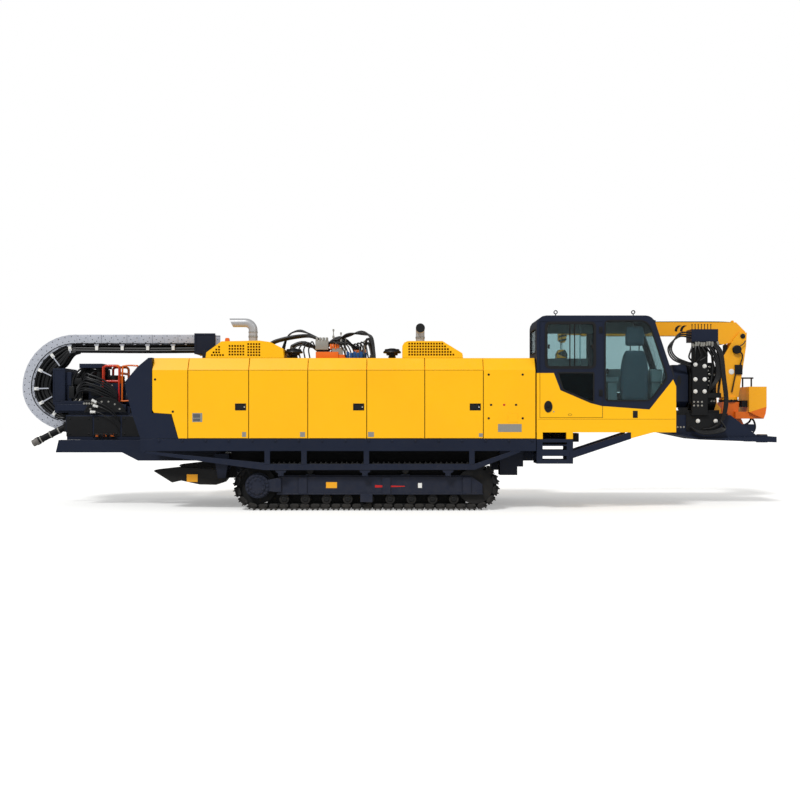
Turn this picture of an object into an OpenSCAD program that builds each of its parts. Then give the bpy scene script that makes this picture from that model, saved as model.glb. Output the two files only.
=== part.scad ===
// Horizontal directional drill on tracks: two long cabinets either side of an open drill
// corridor, a tilting mast with its rotary carriage and hose chain, a cab and a folding crane.
// X runs forward along the drill string, Y to the left, Z up; Z = 0 is the ground.

/* [Overall] */
// Width over the deck beams
overall_w = 3000; // [2900:10:3200]

/* [Tracks] */
// Height of the sprocket's and idler's centres, which is also the radius to the lug tips
wheel_h = 440; // [400:5:480]
// Centre of the drive sprocket along the machine
sprocket_x = -2650; // [-2800:10:-2500]
// Centre of the front idler along the machine
idler_x = 1310; // [1200:10:1500]
// Width of a track shoe
shoe_w = 450; // [400:10:480]
// Shoes round one track
shoe_n = 54; // [50:1:58]
// Height of a grouser above its shoe
grouser_h = 28; // [20:1:34]
// Thickness of a track between its roller path and the shoe's outer face
track_t = 82; // [70:1:90]
// Bottom rollers on each side
roller_n = 9; // [7:1:10]

/* [Base frame] */
// Top of the deck, where the cabinets stand
deck_z = 1302; // [1280:2:1320]
// Depth of the deck side beam
deck_beam_h = 221; // [200:1:240]
// Underside of the truss chord
chord_z = 742; // [725:1:760]
// Depth of the truss chord
chord_h = 105; // [90:5:120]
// Rear end of the deck
deck_x0 = -4740; // [-4800:10:-4700]
// Front end of the deck
deck_x1 = 2388; // [2340:4:2388]
// Depth of the two main beams below the deck
main_beam_h = 419; // [400:1:430]
// Rear end of the main beams
main_x0 = -6550; // [-6600:10:-6500]
// Front end of the main beams
main_x1 = 2600; // [2560:10:2700]

/* [Cabinets] */
// Height of a cabinet above the deck
cabinet_h = 1464; // [1400:4:1520]
// Height of the sloping shoulder at the top of a cabinet
shoulder_h = 226; // [180:2:260]
// How far the shoulder leans in
shoulder_in = 130; // [80:5:180]
// Thickness of a cabinet door
door_t = 36; // [28:1:44]
// Seam between two doors
seam = 14; // [12:1:18]
// Half width of the drill corridor between the cabinets
corridor_w = 550; // [540:5:570]

/* [Mast] */
// Underside of the mast
mast_z = 1400; // [1396:1:1410]
// Depth of the mast's side beams
mast_h = 330; // [300:5:350]
// Half width over the side beams
mast_w = 465; // [450:1:475]
// Width of one side beam
mast_beam_w = 160; // [140:5:175]
// Rear end of the mast
mast_x0 = -6440; // [-6500:10:-6400]
// Height of the drill string above the ground
drill_z = 2060; // [2040:5:2080]
// Tilt pin along the machine
tilt_x = 2400; // [2380:5:2420]
// Tilt pin above the ground
tilt_z = 1215; // [1205:1:1225]
// Radius of the tilt pin
tilt_r = 50; // [40:1:60]

/* [Cab] */
// Rear wall of the cab
cab_x0 = 2402; // [2402:2:2430]
// Front of the cab at its foot
cab_x1 = 4913; // [4880:1:4940]
// Underside of the cab
cab_z0 = 1416; // [1410:1:1430]
// Top of the cab roof
cab_z1 = 3523; // [3480:1:3560]
// Thickness of the cab's walls and door
cab_t = 46; // [40:1:56]

/* [Crane] */
// Slew axis along the machine
crane_x = 6700; // [6650:10:6750]
// Slew axis across the machine
crane_y = 950; // [900:10:1000]
// Radius of the slew ring
slew_r = 190; // [160:5:210]
// Underside of the slew ring
slew_z = 2040; // [2010:5:2060]
// Boom pin above the ground
boom_pin_z = 3347; // [3300:1:3380]
// Boom pin ahead of the slew axis
boom_pin_dx = 250; // [220:5:280]

/* [Hidden] */
$fn = 48;

navy = "#27303f";
yellow = "#f6b400";
black = "#1b1c1f";
steel = "#b9bcc2";
orange = "#d9571d";
run_gap = 0.08;   // radial clearance of a pin in its bore
seat_gap = 0.3;   // clearance of a piece that rests on another body
half_w = overall_w / 2;

// Shared shapes
module block(x0, x1, y0, y1, z0, z1) {
  translate([x0, y0, z0]) cube([x1 - x0, y1 - y0, z1 - z0]);
}
module plate_xz(points, y0, y1) {
  translate([0, y1, 0]) rotate([90, 0, 0]) linear_extrude(y1 - y0) polygon(points);
}
module plate_yz(points, x0, x1) {
  translate([x0, 0, 0]) rotate([90, 0, 90]) linear_extrude(x1 - x0) polygon(points);
}
module rod_x(r, x0, x1, y, z) {
  translate([x0, y, z]) rotate([0, 90, 0]) cylinder(r = r, h = x1 - x0);
}
module rod_y(r, y0, y1, x, z) {
  translate([x, y0, z]) rotate([-90, 0, 0]) cylinder(r = r, h = y1 - y0);
}
module rod_z(r, z0, z1, x, y) {
  translate([x, y, z0]) cylinder(r = r, h = z1 - z0);
}
module both_sides() {
  children();
  mirror([0, 1, 0]) children();
}
function lerp(a, b, t) = a + (b - a) * t;
// Points of an arc about c, from angle a0 to a1 in n steps
function arc(c, r, a0, a1, n) = [for (i = [0 : n]) let (a = lerp(a0, a1, i / n))
  [c[0] + r * cos(a), c[1] + r * sin(a)]];

// A hose: a ring of hose_sides points at each point of its route, closed at both ends
hose_sides = 8;
function unit(v) = v / norm(v);
function tangent(p, i) = unit(p[min(i + 1, len(p) - 1)] - p[max(i - 1, 0)]);
function side_of(t) = unit(cross(t, abs(t[1]) > 0.9 ? [1, 0, 0] : [0, 1, 0]));
function ring(p, i, r) = let (t = tangent(p, i), u = side_of(t), v = cross(t, u))
  [for (k = [0 : hose_sides - 1]) let (a = 360 * k / hose_sides)
    p[i] + r * (cos(a) * u + sin(a) * v)];
module hose(p, r) {
  n = len(p);
  points = [for (i = [0 : n - 1]) each ring(p, i, r)];
  walls = [for (i = [0 : n - 2], k = [0 : hose_sides - 1])
    let (a = i * hose_sides + k, b = i * hose_sides + (k + 1) % hose_sides)
    [a, a + hose_sides, b + hose_sides, b]];
  first = [for (k = [0 : hose_sides - 1]) k];
  last = [for (k = [hose_sides - 1 : -1 : 0]) (n - 1) * hose_sides + k];
  polyhedron(points, concat(walls, [first, last]));
}
// Route points from a to b that rise by lift in between
function arch(a, b, lift, n = 8) = [for (i = [0 : n]) let (t = i / n)
  [lerp(a[0], b[0], t), lerp(a[1], b[1], t), lerp(a[2], b[2], t) + lift * sin(180 * t)]];

// Tracks
track_y1 = half_w - 100;
track_y0 = track_y1 - shoe_w;
shoe_r = wheel_h - grouser_h;
path_r = shoe_r - track_t;
pitch_r = (shoe_r + path_r) / 2;
axle_gap = idler_x - sprocket_x;
loop_l = 2 * axle_gap + 2 * PI * pitch_r;
shoe_pitch = loop_l / shoe_n;
// A point of the track's outline, s along the loop from the bottom under the sprocket, at radius r
function loop_point(s, r) =
  let (t = ((s % loop_l) + loop_l) % loop_l, half_turn = PI * pitch_r)
  t < axle_gap ? [sprocket_x + t, wheel_h - r] :
  t < axle_gap + half_turn ? let (a = -90 + 180 * (t - axle_gap) / half_turn)
    [idler_x + r * cos(a), wheel_h + r * sin(a)] :
  t < 2 * axle_gap + half_turn ? [idler_x - (t - axle_gap - half_turn), wheel_h + r] :
  let (a = 90 + 180 * (t - 2 * axle_gap - half_turn) / half_turn)
    [sprocket_x + r * cos(a), wheel_h + r * sin(a)];
// One shoe's outer edge: share of the pitch, height above the shoe's face (two grousers)
shoe_edge = [[0.03, -16], [0.08, 0], [0.16, 0], [0.20, 1], [0.28, 1], [0.32, 0],
             [0.62, 0], [0.66, 1], [0.74, 1], [0.78, 0], [0.95, 0], [0.99, -16]];
module track() {
  outline = [for (i = [0 : shoe_n - 1], e = shoe_edge)
    loop_point((i + e[0]) * shoe_pitch, shoe_r + (e[1] > 0 ? grouser_h : e[1]))];
  color(black) difference() {
    plate_xz(outline, track_y0, track_y1);
    for (x = [sprocket_x, idler_x]) rod_y(path_r, track_y0 - 1, track_y1 + 1, x, wheel_h);
    block(sprocket_x, idler_x, track_y0 - 1, track_y1 + 1, wheel_h - path_r, wheel_h + path_r);
  }
}
module track_far() { track(); }
module track_near() { mirror([0, 1, 0]) track(); }

// Crawler side frames, with the roller guard and the final drive's bracket
frame_z = 286;
frame_y0 = track_y0 + 110;
frame_y1 = track_y1 - 70;
frame_x0 = sprocket_x + 372;
frame_x1 = idler_x - 60;
module track_frame() {
  body = [[frame_x0, 300], [frame_x1 + 190, 300], [frame_x1 + 190, 470], [frame_x1, 606],
          [frame_x0, 606]];
  plate_xz(body, frame_y0, frame_y1);
  block(frame_x0 - 20, frame_x1 + 200, frame_y0 - 20, frame_y1 + 22, frame_z, frame_z + 14);
  block(frame_x0 + 60, frame_x1 - 40, frame_y0 + 40, frame_y1 - 40, 606, 630);
  for (x = [-1900, -380, 1080]) block(x, x + 150, frame_y1, frame_y1 + 26, 300, 600);
  for (x = [-1700, 40]) block(x - 80, x + 80, frame_y0 + 60, frame_y1 - 60, 630, 648);
  for (y = [frame_y0 + 5, frame_y1 - 45]) {
    plate_xz([[frame_x0 - 340, wheel_h - 70], [frame_x0 + 5, 330], [frame_x0 + 5, 590],
              [frame_x0 - 340, wheel_h + 80]], y + (y > frame_y0 + 50 ? 62 : -92), y + (y > frame_y0 + 50 ? 92 : -62));
    block(frame_x0 - 10, frame_x0 + 60, y - 95, y + 95, 340, 580);
  }
  block(-780, -560, frame_y1 - 10, frame_y1 + 44, 150, 300);
}
track_mid = (track_y0 + track_y1) / 2;
idler_half = 96;
// Radius of the final drive's housing and of its inner hub
drive_r = 215;
hub_r = 180;
module track_frames() {
  color(navy) both_sides() difference() {
    track_frame();
    rod_y(path_r + 12, track_mid - idler_half, track_mid + idler_half, idler_x, wheel_h);
    rod_y(drive_r + seat_gap, track_mid, track_y1 + 20, sprocket_x, wheel_h);
    rod_y(hub_r + seat_gap, track_y0, track_mid, sprocket_x, wheel_h);
  }
}

// A toothed drive sprocket on its final drive, the smooth idler and the small rollers
tooth_n = 22;
module sprocket() {
  tip = path_r - 6;
  root = path_r - 48;
  teeth = [for (i = [0 : tooth_n - 1], e = [[0, root], [0.3, root], [0.42, tip], [0.58, tip], [0.7, root]])
    let (a = 360 * (i + e[0]) / tooth_n) [sprocket_x + e[1] * cos(a), wheel_h + e[1] * sin(a)]];
  mid_y = (track_y0 + track_y1) / 2;
  plate_xz(teeth, mid_y - 24, mid_y + 24);
  rod_y(235, mid_y + 24, mid_y + 95, sprocket_x, wheel_h);
  rod_y(drive_r, mid_y + 95, track_y1 - 12, sprocket_x, wheel_h);
  rod_y(150, track_y1 - 12, track_y1 + 8, sprocket_x, wheel_h);
  rod_y(hub_r, track_y0 + 20, mid_y - 24, sprocket_x, wheel_h);
}
module sprockets() { color(navy) both_sides() sprocket(); }
module idler() {
  mid_y = (track_y0 + track_y1) / 2;
  for (s = [-1, 1]) rod_y(path_r - seat_gap, mid_y + s * 62 - 28, mid_y + s * 62 + 28, idler_x, wheel_h);
  rod_y(path_r - 40, mid_y - 34, mid_y + 34, idler_x, wheel_h);
  rod_y(70, track_mid - idler_half + seat_gap, track_mid + idler_half - seat_gap, idler_x, wheel_h);
}
module idlers() { color(black) both_sides() idler(); }
roller_x0 = -2170;
roller_x1 = idler_x - 390;
module roller(x, z, r) {
  mid_y = (track_y0 + track_y1) / 2;
  rod_y(r - 26, mid_y - 112, mid_y + 112, x, z);
  for (s = [-1, 1]) rod_y(r, mid_y + s * 88 - 34, mid_y + s * 88 + 34, x, z);
}
module track_rollers() {
  r = (frame_z - wheel_h + path_r) / 2 - seat_gap;
  low = (frame_z + wheel_h - path_r) / 2;
  color(black) both_sides() {
    for (i = [0 : roller_n - 1]) roller(lerp(roller_x0, roller_x1, i / (roller_n - 1)), low, r);
    for (x = [-1700, 40]) roller(x, wheel_h + path_r - 58 - seat_gap, 58);
  }
}

// Crawler centre frame
module crawler_beam() {
  color(navy) {
    block(-2050, 1050, -520, 520, 360, 640);
    for (x = [-1650, 500]) block(x - 210, x + 210, -frame_y0 + seat_gap, frame_y0 - seat_gap, 340, 560);
    for (x = [-1800, 600]) both_sides() block(x - 180, x + 180, 380, 700, 600, deck_z - 12 - main_beam_h);
  }
}

// Base frame: deck beams, truss under each edge, main beams and cross members
post_x = [-2500, -1838, -714, 1186];
post_w = 98;
beam_z0 = deck_z - deck_beam_h;
main_y0 = corridor_w;
main_y1 = corridor_w + 150;
main_z1 = deck_z - 12;
main_z0 = main_z1 - main_beam_h;
wall_t = 60;
cross_x = [-4600, -2452, -1300, 480, 1230, 2130];
leg_x = -3330;
leg_z = 640;
leg_y = 1000;
platform_z = cab_z0 + 130;
// Inner face of the steps' inner side plate
step_y1 = -1070;
module base_side() {
  // Deck beam, sloping to a point at the rear, and the deck itself
  plate_xz([[deck_x0, deck_z - 12], [deck_x0, beam_z0 + 10], [deck_x0 + 60, beam_z0 - 40],
            [deck_x0 + 120, beam_z0], [deck_x1, beam_z0], [deck_x1, deck_z - 12]],
           half_w - wall_t, half_w);
  block(deck_x0, deck_x1, corridor_w, half_w, deck_z - 12, deck_z);
  // Truss chord, its posts and its two sloping ends
  chord_t = chord_z + chord_h;
  plate_xz([[deck_x0 + 60, beam_z0 - 40], [post_x[0], chord_z - 6], [post_x[3] + post_w, chord_z],
            [2110, beam_z0 - 20], [2110, beam_z0], [1960, beam_z0], [post_x[3] + post_w, chord_t],
            [post_x[0], chord_t], [post_x[0], chord_t + 20], [deck_x0 + 60, beam_z0 + 2]],
           half_w - wall_t, half_w - 4);
  for (x = post_x) block(x, x + post_w, half_w - wall_t, half_w, chord_t - 5, beam_z0 + 5);
  // Hanging brackets with their lashing pins
  for (x = [-2208, -692, 807]) {
    plate_xz([[x - 105, chord_z + 5], [x - 90, chord_z - 42], [x - 48, chord_z - 60], [x - 48, chord_z - 118],
              [x + 48, chord_z - 118], [x + 48, chord_z - 60], [x + 90, chord_z - 42], [x + 105, chord_z + 5]],
             half_w - 52, half_w - 16);
    rod_y(22, half_w - 20, half_w, x, chord_z - 88);
  }
  // Main beam, shallower where it overhangs behind the deck
  plate_xz([[main_x0 + 55, main_z1 - 30], [main_x0, main_z1 - 265], [-5300, main_z1 - 265],
            [-5000, main_z0], [main_x1, main_z0], [main_x1, main_z1 - 30]], main_y0, main_y1);
  block(deck_x0 + 200, deck_x1, main_y0, main_y1, main_z1 - 31, main_z1);
  // Ears that carry the stabilizer
  for (s = [-1, 1]) plate_xz([[leg_x - 130, main_z0 + 40], [leg_x - 70, leg_z - 70], [leg_x + 70, leg_z - 70],
                              [leg_x + 130, main_z0 + 40]], leg_y + s * 170 - 18, leg_y + s * 170 + 18);
  rod_y(38, leg_y - 170, leg_y + 170, leg_x, leg_z);
}
module base_frame() {
  color(navy) {
    both_sides() base_side();
    for (x = cross_x) block(x - 60, x + 60, -half_w + 10, half_w - 10, beam_z0 + 5, main_z1 - 60);
    block(leg_x - 130, leg_x + 130, -leg_y - 188, leg_y + 188, main_z0 + 10, main_z0 + 150);
    for (x = [main_x0 + 90, -5400]) block(x - 50, x + 50, -main_y0 - 5, main_y0 + 5, main_z1 - 250, main_z1 - 100);
    // Saddles that the mast lies on
    for (x = [mast_x0 + 380, -4600, -1300])
      block(x - 90, x + 90, -mast_w, mast_w, main_z1 - 200, mast_z - seat_gap);
    both_sides() block(mast_x0 + 20, -4680, mast_w - 120, mast_w, main_z1 - 31, mast_z - seat_gap);
    rod_y(tilt_r, -main_y0 - 5, main_y0 + 5, tilt_x, tilt_z);
    // Lugs for the tilt cylinders
    block(ram_foot[0] - 100, ram_foot[0] + 100, -main_y0 - 40, main_y0 + 40, ram_foot[1] - 140, ram_foot[1] - 80);
    both_sides() block(ram_foot[0] - 100, ram_foot[0] + 100, main_y0 - 10, main_y0 + 40, ram_foot[1] - 81, main_z0 + 10);
    for (y = ram_y, s = [-1, 1]) block(ram_foot[0] - 60, ram_foot[0] + 60, y + s * 95 - 12, y + s * 95 + 12, ram_foot[1] - 81, ram_foot[1] + 60);
    for (y = ram_y) rod_y(34, y - 100, y + 100, ram_foot[0], ram_foot[1]);
    // Bracket below the deck's front end
    both_sides() plate_xz([[1790, beam_z0 + 10], [1790, 617], [2114, 617], [2114, 774], [2223, 774], [2223, beam_z0 + 10]], 700, 1000);
    // Floor beams that carry the cab and the crane's platform
    block(deck_x1 - 400, cab_x0 + 700, step_y1 + seat_gap, -corridor_w, deck_z - 130, deck_z - 12);
    for (x = [cab_x0 + 110, cab_x0 + 600], y = [step_y1 + 80, -corridor_w - 90])
      rod_z(48, deck_z - 13, cab_z0 - seat_gap, x, y);
    for (y = [corridor_w + 70, half_w - 200])
      plate_xz([[deck_x1 - 600, deck_z - 190], [deck_x1 - 90, deck_z - 190], [deck_x1 + 500, cab_z0 - 14],
                [crane_x + 420, cab_z0 - 14], [crane_x + 420, platform_z - 10], [deck_x1 + 8, platform_z - 10],
                [deck_x1 + 8, deck_z - 13], [deck_x1 - 600, deck_z - 13]], y, y + 100);
    block(deck_x1 + 8, crane_x + 420, corridor_w + 70, half_w - 100, platform_z - 16, platform_z);
    for (x = [deck_x1 + 8, 3600, 4800, crane_x - 620, crane_x + 320])
      block(x, x + 100, corridor_w + 169, half_w - 199, cab_z0 - 14, platform_z - 15);
  }
}

// Cabinets
cab_top = deck_z + cabinet_h;
shoulder_z = cab_top - shoulder_h;
bay_x = [-4519, -3881, -2785, -1721, -659, 386, 1441, deck_x1 - 4];
// Section of the skin in the YZ plane, d inside the outer face
function skin(d) = [[half_w - d, deck_z + 6], [half_w - d, shoulder_z],
                    [half_w - shoulder_in - d, cab_top - 2 - d * 0.4]];
// A fixed panel with its shoulder, a shoulder alone, and the upright skin of a door
module skin_panel(x0, x1) {
  a = skin(4);
  b = skin(4 + door_t);
  plate_yz([a[0], a[1], a[2], b[2], b[1], b[0]], x0, x1);
}
module shoulder_panel(x0, x1) {
  a = skin(4);
  b = skin(4 + door_t);
  plate_yz([a[1], a[2], b[2], b[1]], x0, x1);
}
door_top = shoulder_z - 6;
module door_skin(x0, x1) { block(x0, x1, half_w - 4 - door_t, half_w - 4, deck_z + 10, door_top); }
inner_face = half_w - 4 - door_t - seat_gap;
post_d = 60;
module cabinet_frame() {
  // Roof, corridor wall, end walls, and a post behind each seam
  block(bay_x[0] + 80, bay_x[7], corridor_w, half_w - shoulder_in - 50, cab_top - 30, cab_top);
  block(bay_x[0] + 80, bay_x[7], corridor_w, corridor_w + 30, deck_z, cab_top - 29);
  for (x = [bay_x[0] + 80, bay_x[7] - 40])
    plate_yz([[corridor_w, deck_z], [inner_face, deck_z], [inner_face, shoulder_z],
              [half_w - shoulder_in - 52, cab_top - 25], [corridor_w, cab_top - 25]], x, x + 40);
  for (i = [1 : 6])
    plate_yz([[inner_face - post_d, deck_z], [inner_face, deck_z], [inner_face, shoulder_z],
              [half_w - shoulder_in - 52, cab_top - 25], [half_w - shoulder_in - 130, cab_top - 25],
              [inner_face - post_d, shoulder_z - 30]], bay_x[i] - 35, bay_x[i] + 35);
}
// Strips that hold the fixed panels on the posts; on the rear panel's side only at the first post
module panel_ties(list) {
  for (i = list) {
    block(i < 7 ? bay_x[i] + 12 : bay_x[7] - 38, i < 7 ? bay_x[i] + 34 : bay_x[7] - 8, inner_face - 10, inner_face + 3, deck_z + 40, shoulder_z - 60);
  }
  block(bay_x[1] - 34, bay_x[1] - 12, inner_face - 10, inner_face + 3, deck_z + 558, shoulder_z - 60);
}
module fixed_panels(list) {
  for (i = list) skin_panel(bay_x[i] + seam / 2, bay_x[i + 1] - seam / 2);
}
module near_cabinet() {
  color(yellow) mirror([0, 1, 0]) {
    cabinet_frame();
    fixed_panels([6]);
    rear_panel();
    panel_ties([6, 7]);
    for (i = [1 : 5]) {
      shoulder_panel(bay_x[i] + seam / 2, bay_x[i + 1] - seam / 2);
      block(bay_x[i] + 12, bay_x[i] + 34, inner_face - 10, inner_face + 8, shoulder_z + 2, shoulder_z + 40);
      block(bay_x[i + 1] - 34, bay_x[i + 1] - 12, inner_face - 10, inner_face + 8, shoulder_z + 2, shoulder_z + 40);
    }
  }
}
// The rear fixed panel, cut to a dropped corner where the dark shroud meets it
module rear_panel() {
  difference() {
    skin_panel(-4519, bay_x[1] - seam / 2);
    plate_xz([[-4600, deck_z - 10], [-4600, deck_z + 560], [-4547, deck_z + 560], [-4490, deck_z + 468],
              [-4173, deck_z + 445], [-4045, deck_z - 10]], 0, half_w + 10);
  }
}
module far_cabinet() {
  color(yellow) {
    cabinet_frame();
    rear_panel();
    difference() {
      fixed_panels([1, 2, 3, 4, 5, 6]);
      // Air slots in the radiator bays
      for (i = [1, 2, 4, 5], k = [0 : 8])
        block(bay_x[i] + 180, bay_x[i + 1] - 180, half_w - 60, half_w + 5, deck_z + 258 + k * 90, deck_z + 288 + k * 90);
    }
    panel_ties([1 : 7]);
  }
}

// Dark shrouds that close the rear of each cabinet
shroud_top = [[-4523, cab_top - 2], [-4591, cab_top - 6], [-4790, cab_top - 171], [-5006, cab_top - 431],
              [-5006, cab_top - 560]];
shroud_low = [[-4877, deck_z + 416], [-4733, deck_z + seat_gap], [-4446, deck_z + seat_gap]];
module rear_shrouds() {
  color(navy) both_sides() difference() {
    plate_xz(concat(shroud_top, shroud_low, [[-4446, cab_top - 2]]), corridor_w, half_w - 4);
    plate_xz([[-4550, cab_top - 66], [-4740, cab_top - 226], [-4950, cab_top - 456], [-4950, cab_top - 551],
              [-4822, deck_z + 433], [-4690, deck_z + 60], [-4400, deck_z + 60], [-4400, cab_top - 46]],
             corridor_w + 40, half_w - 50);
    block(-4519 - 8, -4300, corridor_w - 1, half_w + 1, deck_z + 453, cab_top + 5);
    block(-4447, -4300, corridor_w - 1, half_w + 1, deck_z, cab_top + 5);
  }
  color(navy) both_sides()
    plate_xz([[-4600, deck_z + 4], [-4600, deck_z + 458], [-4498, deck_z + 462], [-4185, deck_z + 439],
              [-4054, deck_z + 4]], half_w - 4 - door_t, half_w - 4);
}

// Two plain engine masses, each in its own pair of bays
module engines() {
  color("#55585c") for (x = [-3700, 420])
    block(x, x + 1850, -half_w + 190, -corridor_w - 120, deck_z, deck_z + 980);
}

// Hinged doors of the near cabinet: bay, hinge side (-1 rear edge, 1 front edge)
door_bays = [1, 2, 3, 4, 5];
latch_l = 198;
latch_h = 124;
latch_z = deck_z + 511;
module side_door(bay, latch) {
  x0 = bay_x[bay] + seam / 2;
  x1 = bay_x[bay + 1] - seam / 2;
  mirror([0, 1, 0]) {
    difference() {
      color(yellow) door_skin(x0, x1);
      if (latch) block(x1 - 40 - latch_l, x1 - 40, half_w - 18, half_w, latch_z, latch_z + latch_h);
    }
    if (latch) color(black) difference() {
      block(x1 - 40 - latch_l, x1 - 40, half_w - 18, half_w, latch_z, latch_z + latch_h);
      block(x1 - 26 - latch_l, x1 - 54, half_w - 8, half_w + 1, latch_z + 14, latch_z - 14 + latch_h);
    }
    // Stiffening frame behind the skin
    color(yellow) difference() {
      block(x0 + 60, x1 - 60, inner_face - 26, inner_face + 3, deck_z + 60, shoulder_z - 60);
      block(x0 + 110, x1 - 110, inner_face - 40, inner_face + 1, deck_z + 110, shoulder_z - 110);
    }
  }
}
module door_1() { side_door(1, true); }
module door_2() { side_door(2, false); }
module door_3() { side_door(3, true); }
module door_4() { side_door(4, false); }
module door_5() { side_door(5, true); }

// Perforated hoods over the two engines
hood_y0 = corridor_w + 20;
hood_y1 = half_w - shoulder_in - 10;
hood_t = 14;
function on_roof(list) = [for (p = list) [p[0], cab_top + p[1]]];
hood_top = 316;
rear_hood = [[-3590, 0], [-3575, 100], [-3302, 302], [-2612, hood_top], [-2413, 288], [-2184, 172], [-2166, 0]];
rear_inside = [[-3574, -1], [-3561, 94], [-3295, 288], [-2612, hood_top - 14], [-2418, 275], [-2198, 164], [-2182, -1]];
front_hood = [[-19, 0], [-19, 216], [16, 278], [82, 307], [712, 307], [1072, 86], [1087, 0]];
front_inside = [[-5, -1], [-5, 210], [28, 270], [84, 293], [706, 293], [1058, 76], [1072, -1]];
hole = 33;
hole_p = 50;
// Rows of holes in a hood's outer face: first hole, height above the roof, holes in the row
rear_holes = [[-3490, 34, 5], [-3460, 84, 3], [-3410, 134, 2], [-3360, 184, 1],
              [-3170, 44, 6], [-3170, 96, 6], [-3170, 148, 6], [-3170, 200, 6],
              [-2830, 34, 5], [-2830, 84, 5], [-2830, 134, 5], [-2830, 184, 5], [-2830, 234, 5]];
front_holes = [for (k = [0 : 4]) [92, 42 + k * hole_p, 17 - k]];
module hood(profile, inside, rows) {
  difference() {
    plate_xz(on_roof(profile), hood_y0, hood_y1);
    plate_xz(on_roof(inside), hood_y0 + hood_t, hood_y1 - hood_t);
    for (r = rows, k = [0 : r[2] - 1])
      block(r[0] + k * hole_p, r[0] + k * hole_p + hole, hood_y1 - 30, hood_y1 + 5,
            cab_top + r[1], cab_top + r[1] + hole);
  }
}
module engine_hoods() {
  color(yellow) mirror([0, 1, 0]) {
    hood(rear_hood, rear_inside, rear_holes);
    hood(front_hood, front_inside, front_holes);
  }
}

// Exhausts: one elbow turned to the rear, one turned to the near side
pipe_r = 80;
pipe_y = -1080;
pipe_bore = 72;
module exhaust_pipes() {
  x1 = -2769;
  z1 = cab_top + 524;
  bend_r = 140;
  color(steel) difference() {
    union() {
      rod_z(pipe_r, cab_top + hood_top - 1.6 + seat_gap, z1, x1, pipe_y);
      translate([x1 - bend_r, pipe_y, z1]) rotate([-90, 0, 0]) rotate([0, 0, -90])
        rotate_extrude(angle = 90) translate([bend_r, 0]) circle(r = pipe_r);
      plate_exhaust_end(x1 - bend_r, z1 + bend_r);
    }
    rod_x(pipe_bore, x1 - bend_r - 400, x1 - bend_r - 40, pipe_y, z1 + bend_r);
  }
  x2 = 312;
  z2 = cab_top + 464;
  color(steel) {
    rod_z(pipe_r, cab_top + 307 + seat_gap, z2, x2, pipe_y);
    translate([x2, pipe_y - 90, z2]) rotate([90, 0, 90]) rotate_extrude(angle = 90) translate([90, 0]) circle(r = pipe_r);
    difference() {
      rod_y(pipe_r, pipe_y - 180, pipe_y - 90, x2, z2 + 90);
      rod_y(pipe_bore, pipe_y - 190, pipe_y - 110, x2, z2 + 90);
    }
  }
}
// The rear exhaust's mouth, cut on a slant
module plate_exhaust_end(x, z) {
  difference() {
    rod_x(pipe_r, x - 290, x, pipe_y, z);
    plate_xz([[x - 400, z - 100], [x - 215, z - 100], [x - 300, z + 100], [x - 400, z + 100]], pipe_y - 100, pipe_y + 100);
  }
}

// Air pre-cleaner caps
module air_intakes() {
  color(black) for (x = [-2014, -206]) {
    rod_z(60, cab_top, cab_top + 124, x, -1100);
    rod_z(105, cab_top + 64, cab_top + 114, x, -1100);
    translate([x, -1100, cab_top + 114]) cylinder(r1 = 150, r2 = 136, h = 40);
    translate([x, -1100, cab_top + 154]) cylinder(r1 = 136, r2 = 84, h = 24);
  }
}

// Valves and hoses on the near cabinet's roof
valve_y = -700;
module roof_valves() {
  color("#3a4a6a") {
    block(-1620, -1150, valve_y - 100, valve_y + 110, cab_top, cab_top + 114);
    block(-960, -690, valve_y - 130, valve_y + 90, cab_top, cab_top + 134);
  }
  color(orange) block(-1330, -1060, valve_y - 300, valve_y - 100, cab_top, cab_top + 84);
  color(steel) {
    block(-1320, -1130, valve_y - 290, valve_y - 110, cab_top + 83, cab_top + 209);
    for (x = [-1295, -1245, -1195, -1150]) rod_z(16, cab_top + 208, cab_top + 264, x, valve_y - 200);
    rod_z(15, cab_top + 83, cab_top + 414, -1085, valve_y - 118);
    rod_z(15, cab_top + 133, cab_top + 354, -730, valve_y - 105);
  }
}
// Roof hoses: start, end, rise, radius; both ends drop straight onto a top face
roof_runs = [
  [[-1560, 60, 114], [-860, 40, 134], 190, 30],
  [[-1500, -40, 114], [-900, -50, 134], 240, 26],
  [[-1420, 20, 114], [-800, -90, 134], 130, 20],
  [[-1600, -50, 114], [-2095, -60, 194], 110, 30],
  [[-1580, 30, 114], [-2095, 50, 194], 90, 30],
  [[-750, -20, 134], [-560, -40, 46], 250, 24],
  [[-730, 50, 134], [-600, 50, 46], 180, 20]
];
roof_base = [0, valve_y, cab_top];
module roof_hoses() {
  color(black) {
    for (r = roof_runs) {
      p = r[0] + roof_base;
      q = r[1] + roof_base;
      sunk = r[1][2] > 150 || r[1][2] < 100;
      hose(concat([p + [0, 0, seat_gap], p + [0, 0, 40]], arch(p + [0, 0, 60], q + [0, 0, 60], r[2]),
                  [q + [0, 0, 40], q + [0, 0, sunk ? -5 : seat_gap]]), r[3]);
    }
    block(-2150, -2040, valve_y - 110, valve_y + 110, cab_top, cab_top + 194);
    block(-660, -520, valve_y - 110, valve_y + 100, cab_top, cab_top + 46);
  }
}

// Cab
cab_y0 = -half_w + 4;
cab_y1 = -corridor_w;
nose = [cab_x1 - 9, 2299];
brow = [cab_x1 - 349, 3352];
function cab_outline(t) = concat(
  [[cab_x0 + t, cab_z0 + t]],
  arc([cab_x0 + 170, cab_z1 - 170], 170 - t, 180, 90, 4),
  arc([cab_x1 - 554, cab_z1 - 190], 190 - t, 90, 18, 4),
  [[nose[0] - t, nose[1]], [cab_x1 - t, nose[1] - 61], [cab_x1 - t, cab_z0 + t]]);
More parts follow.
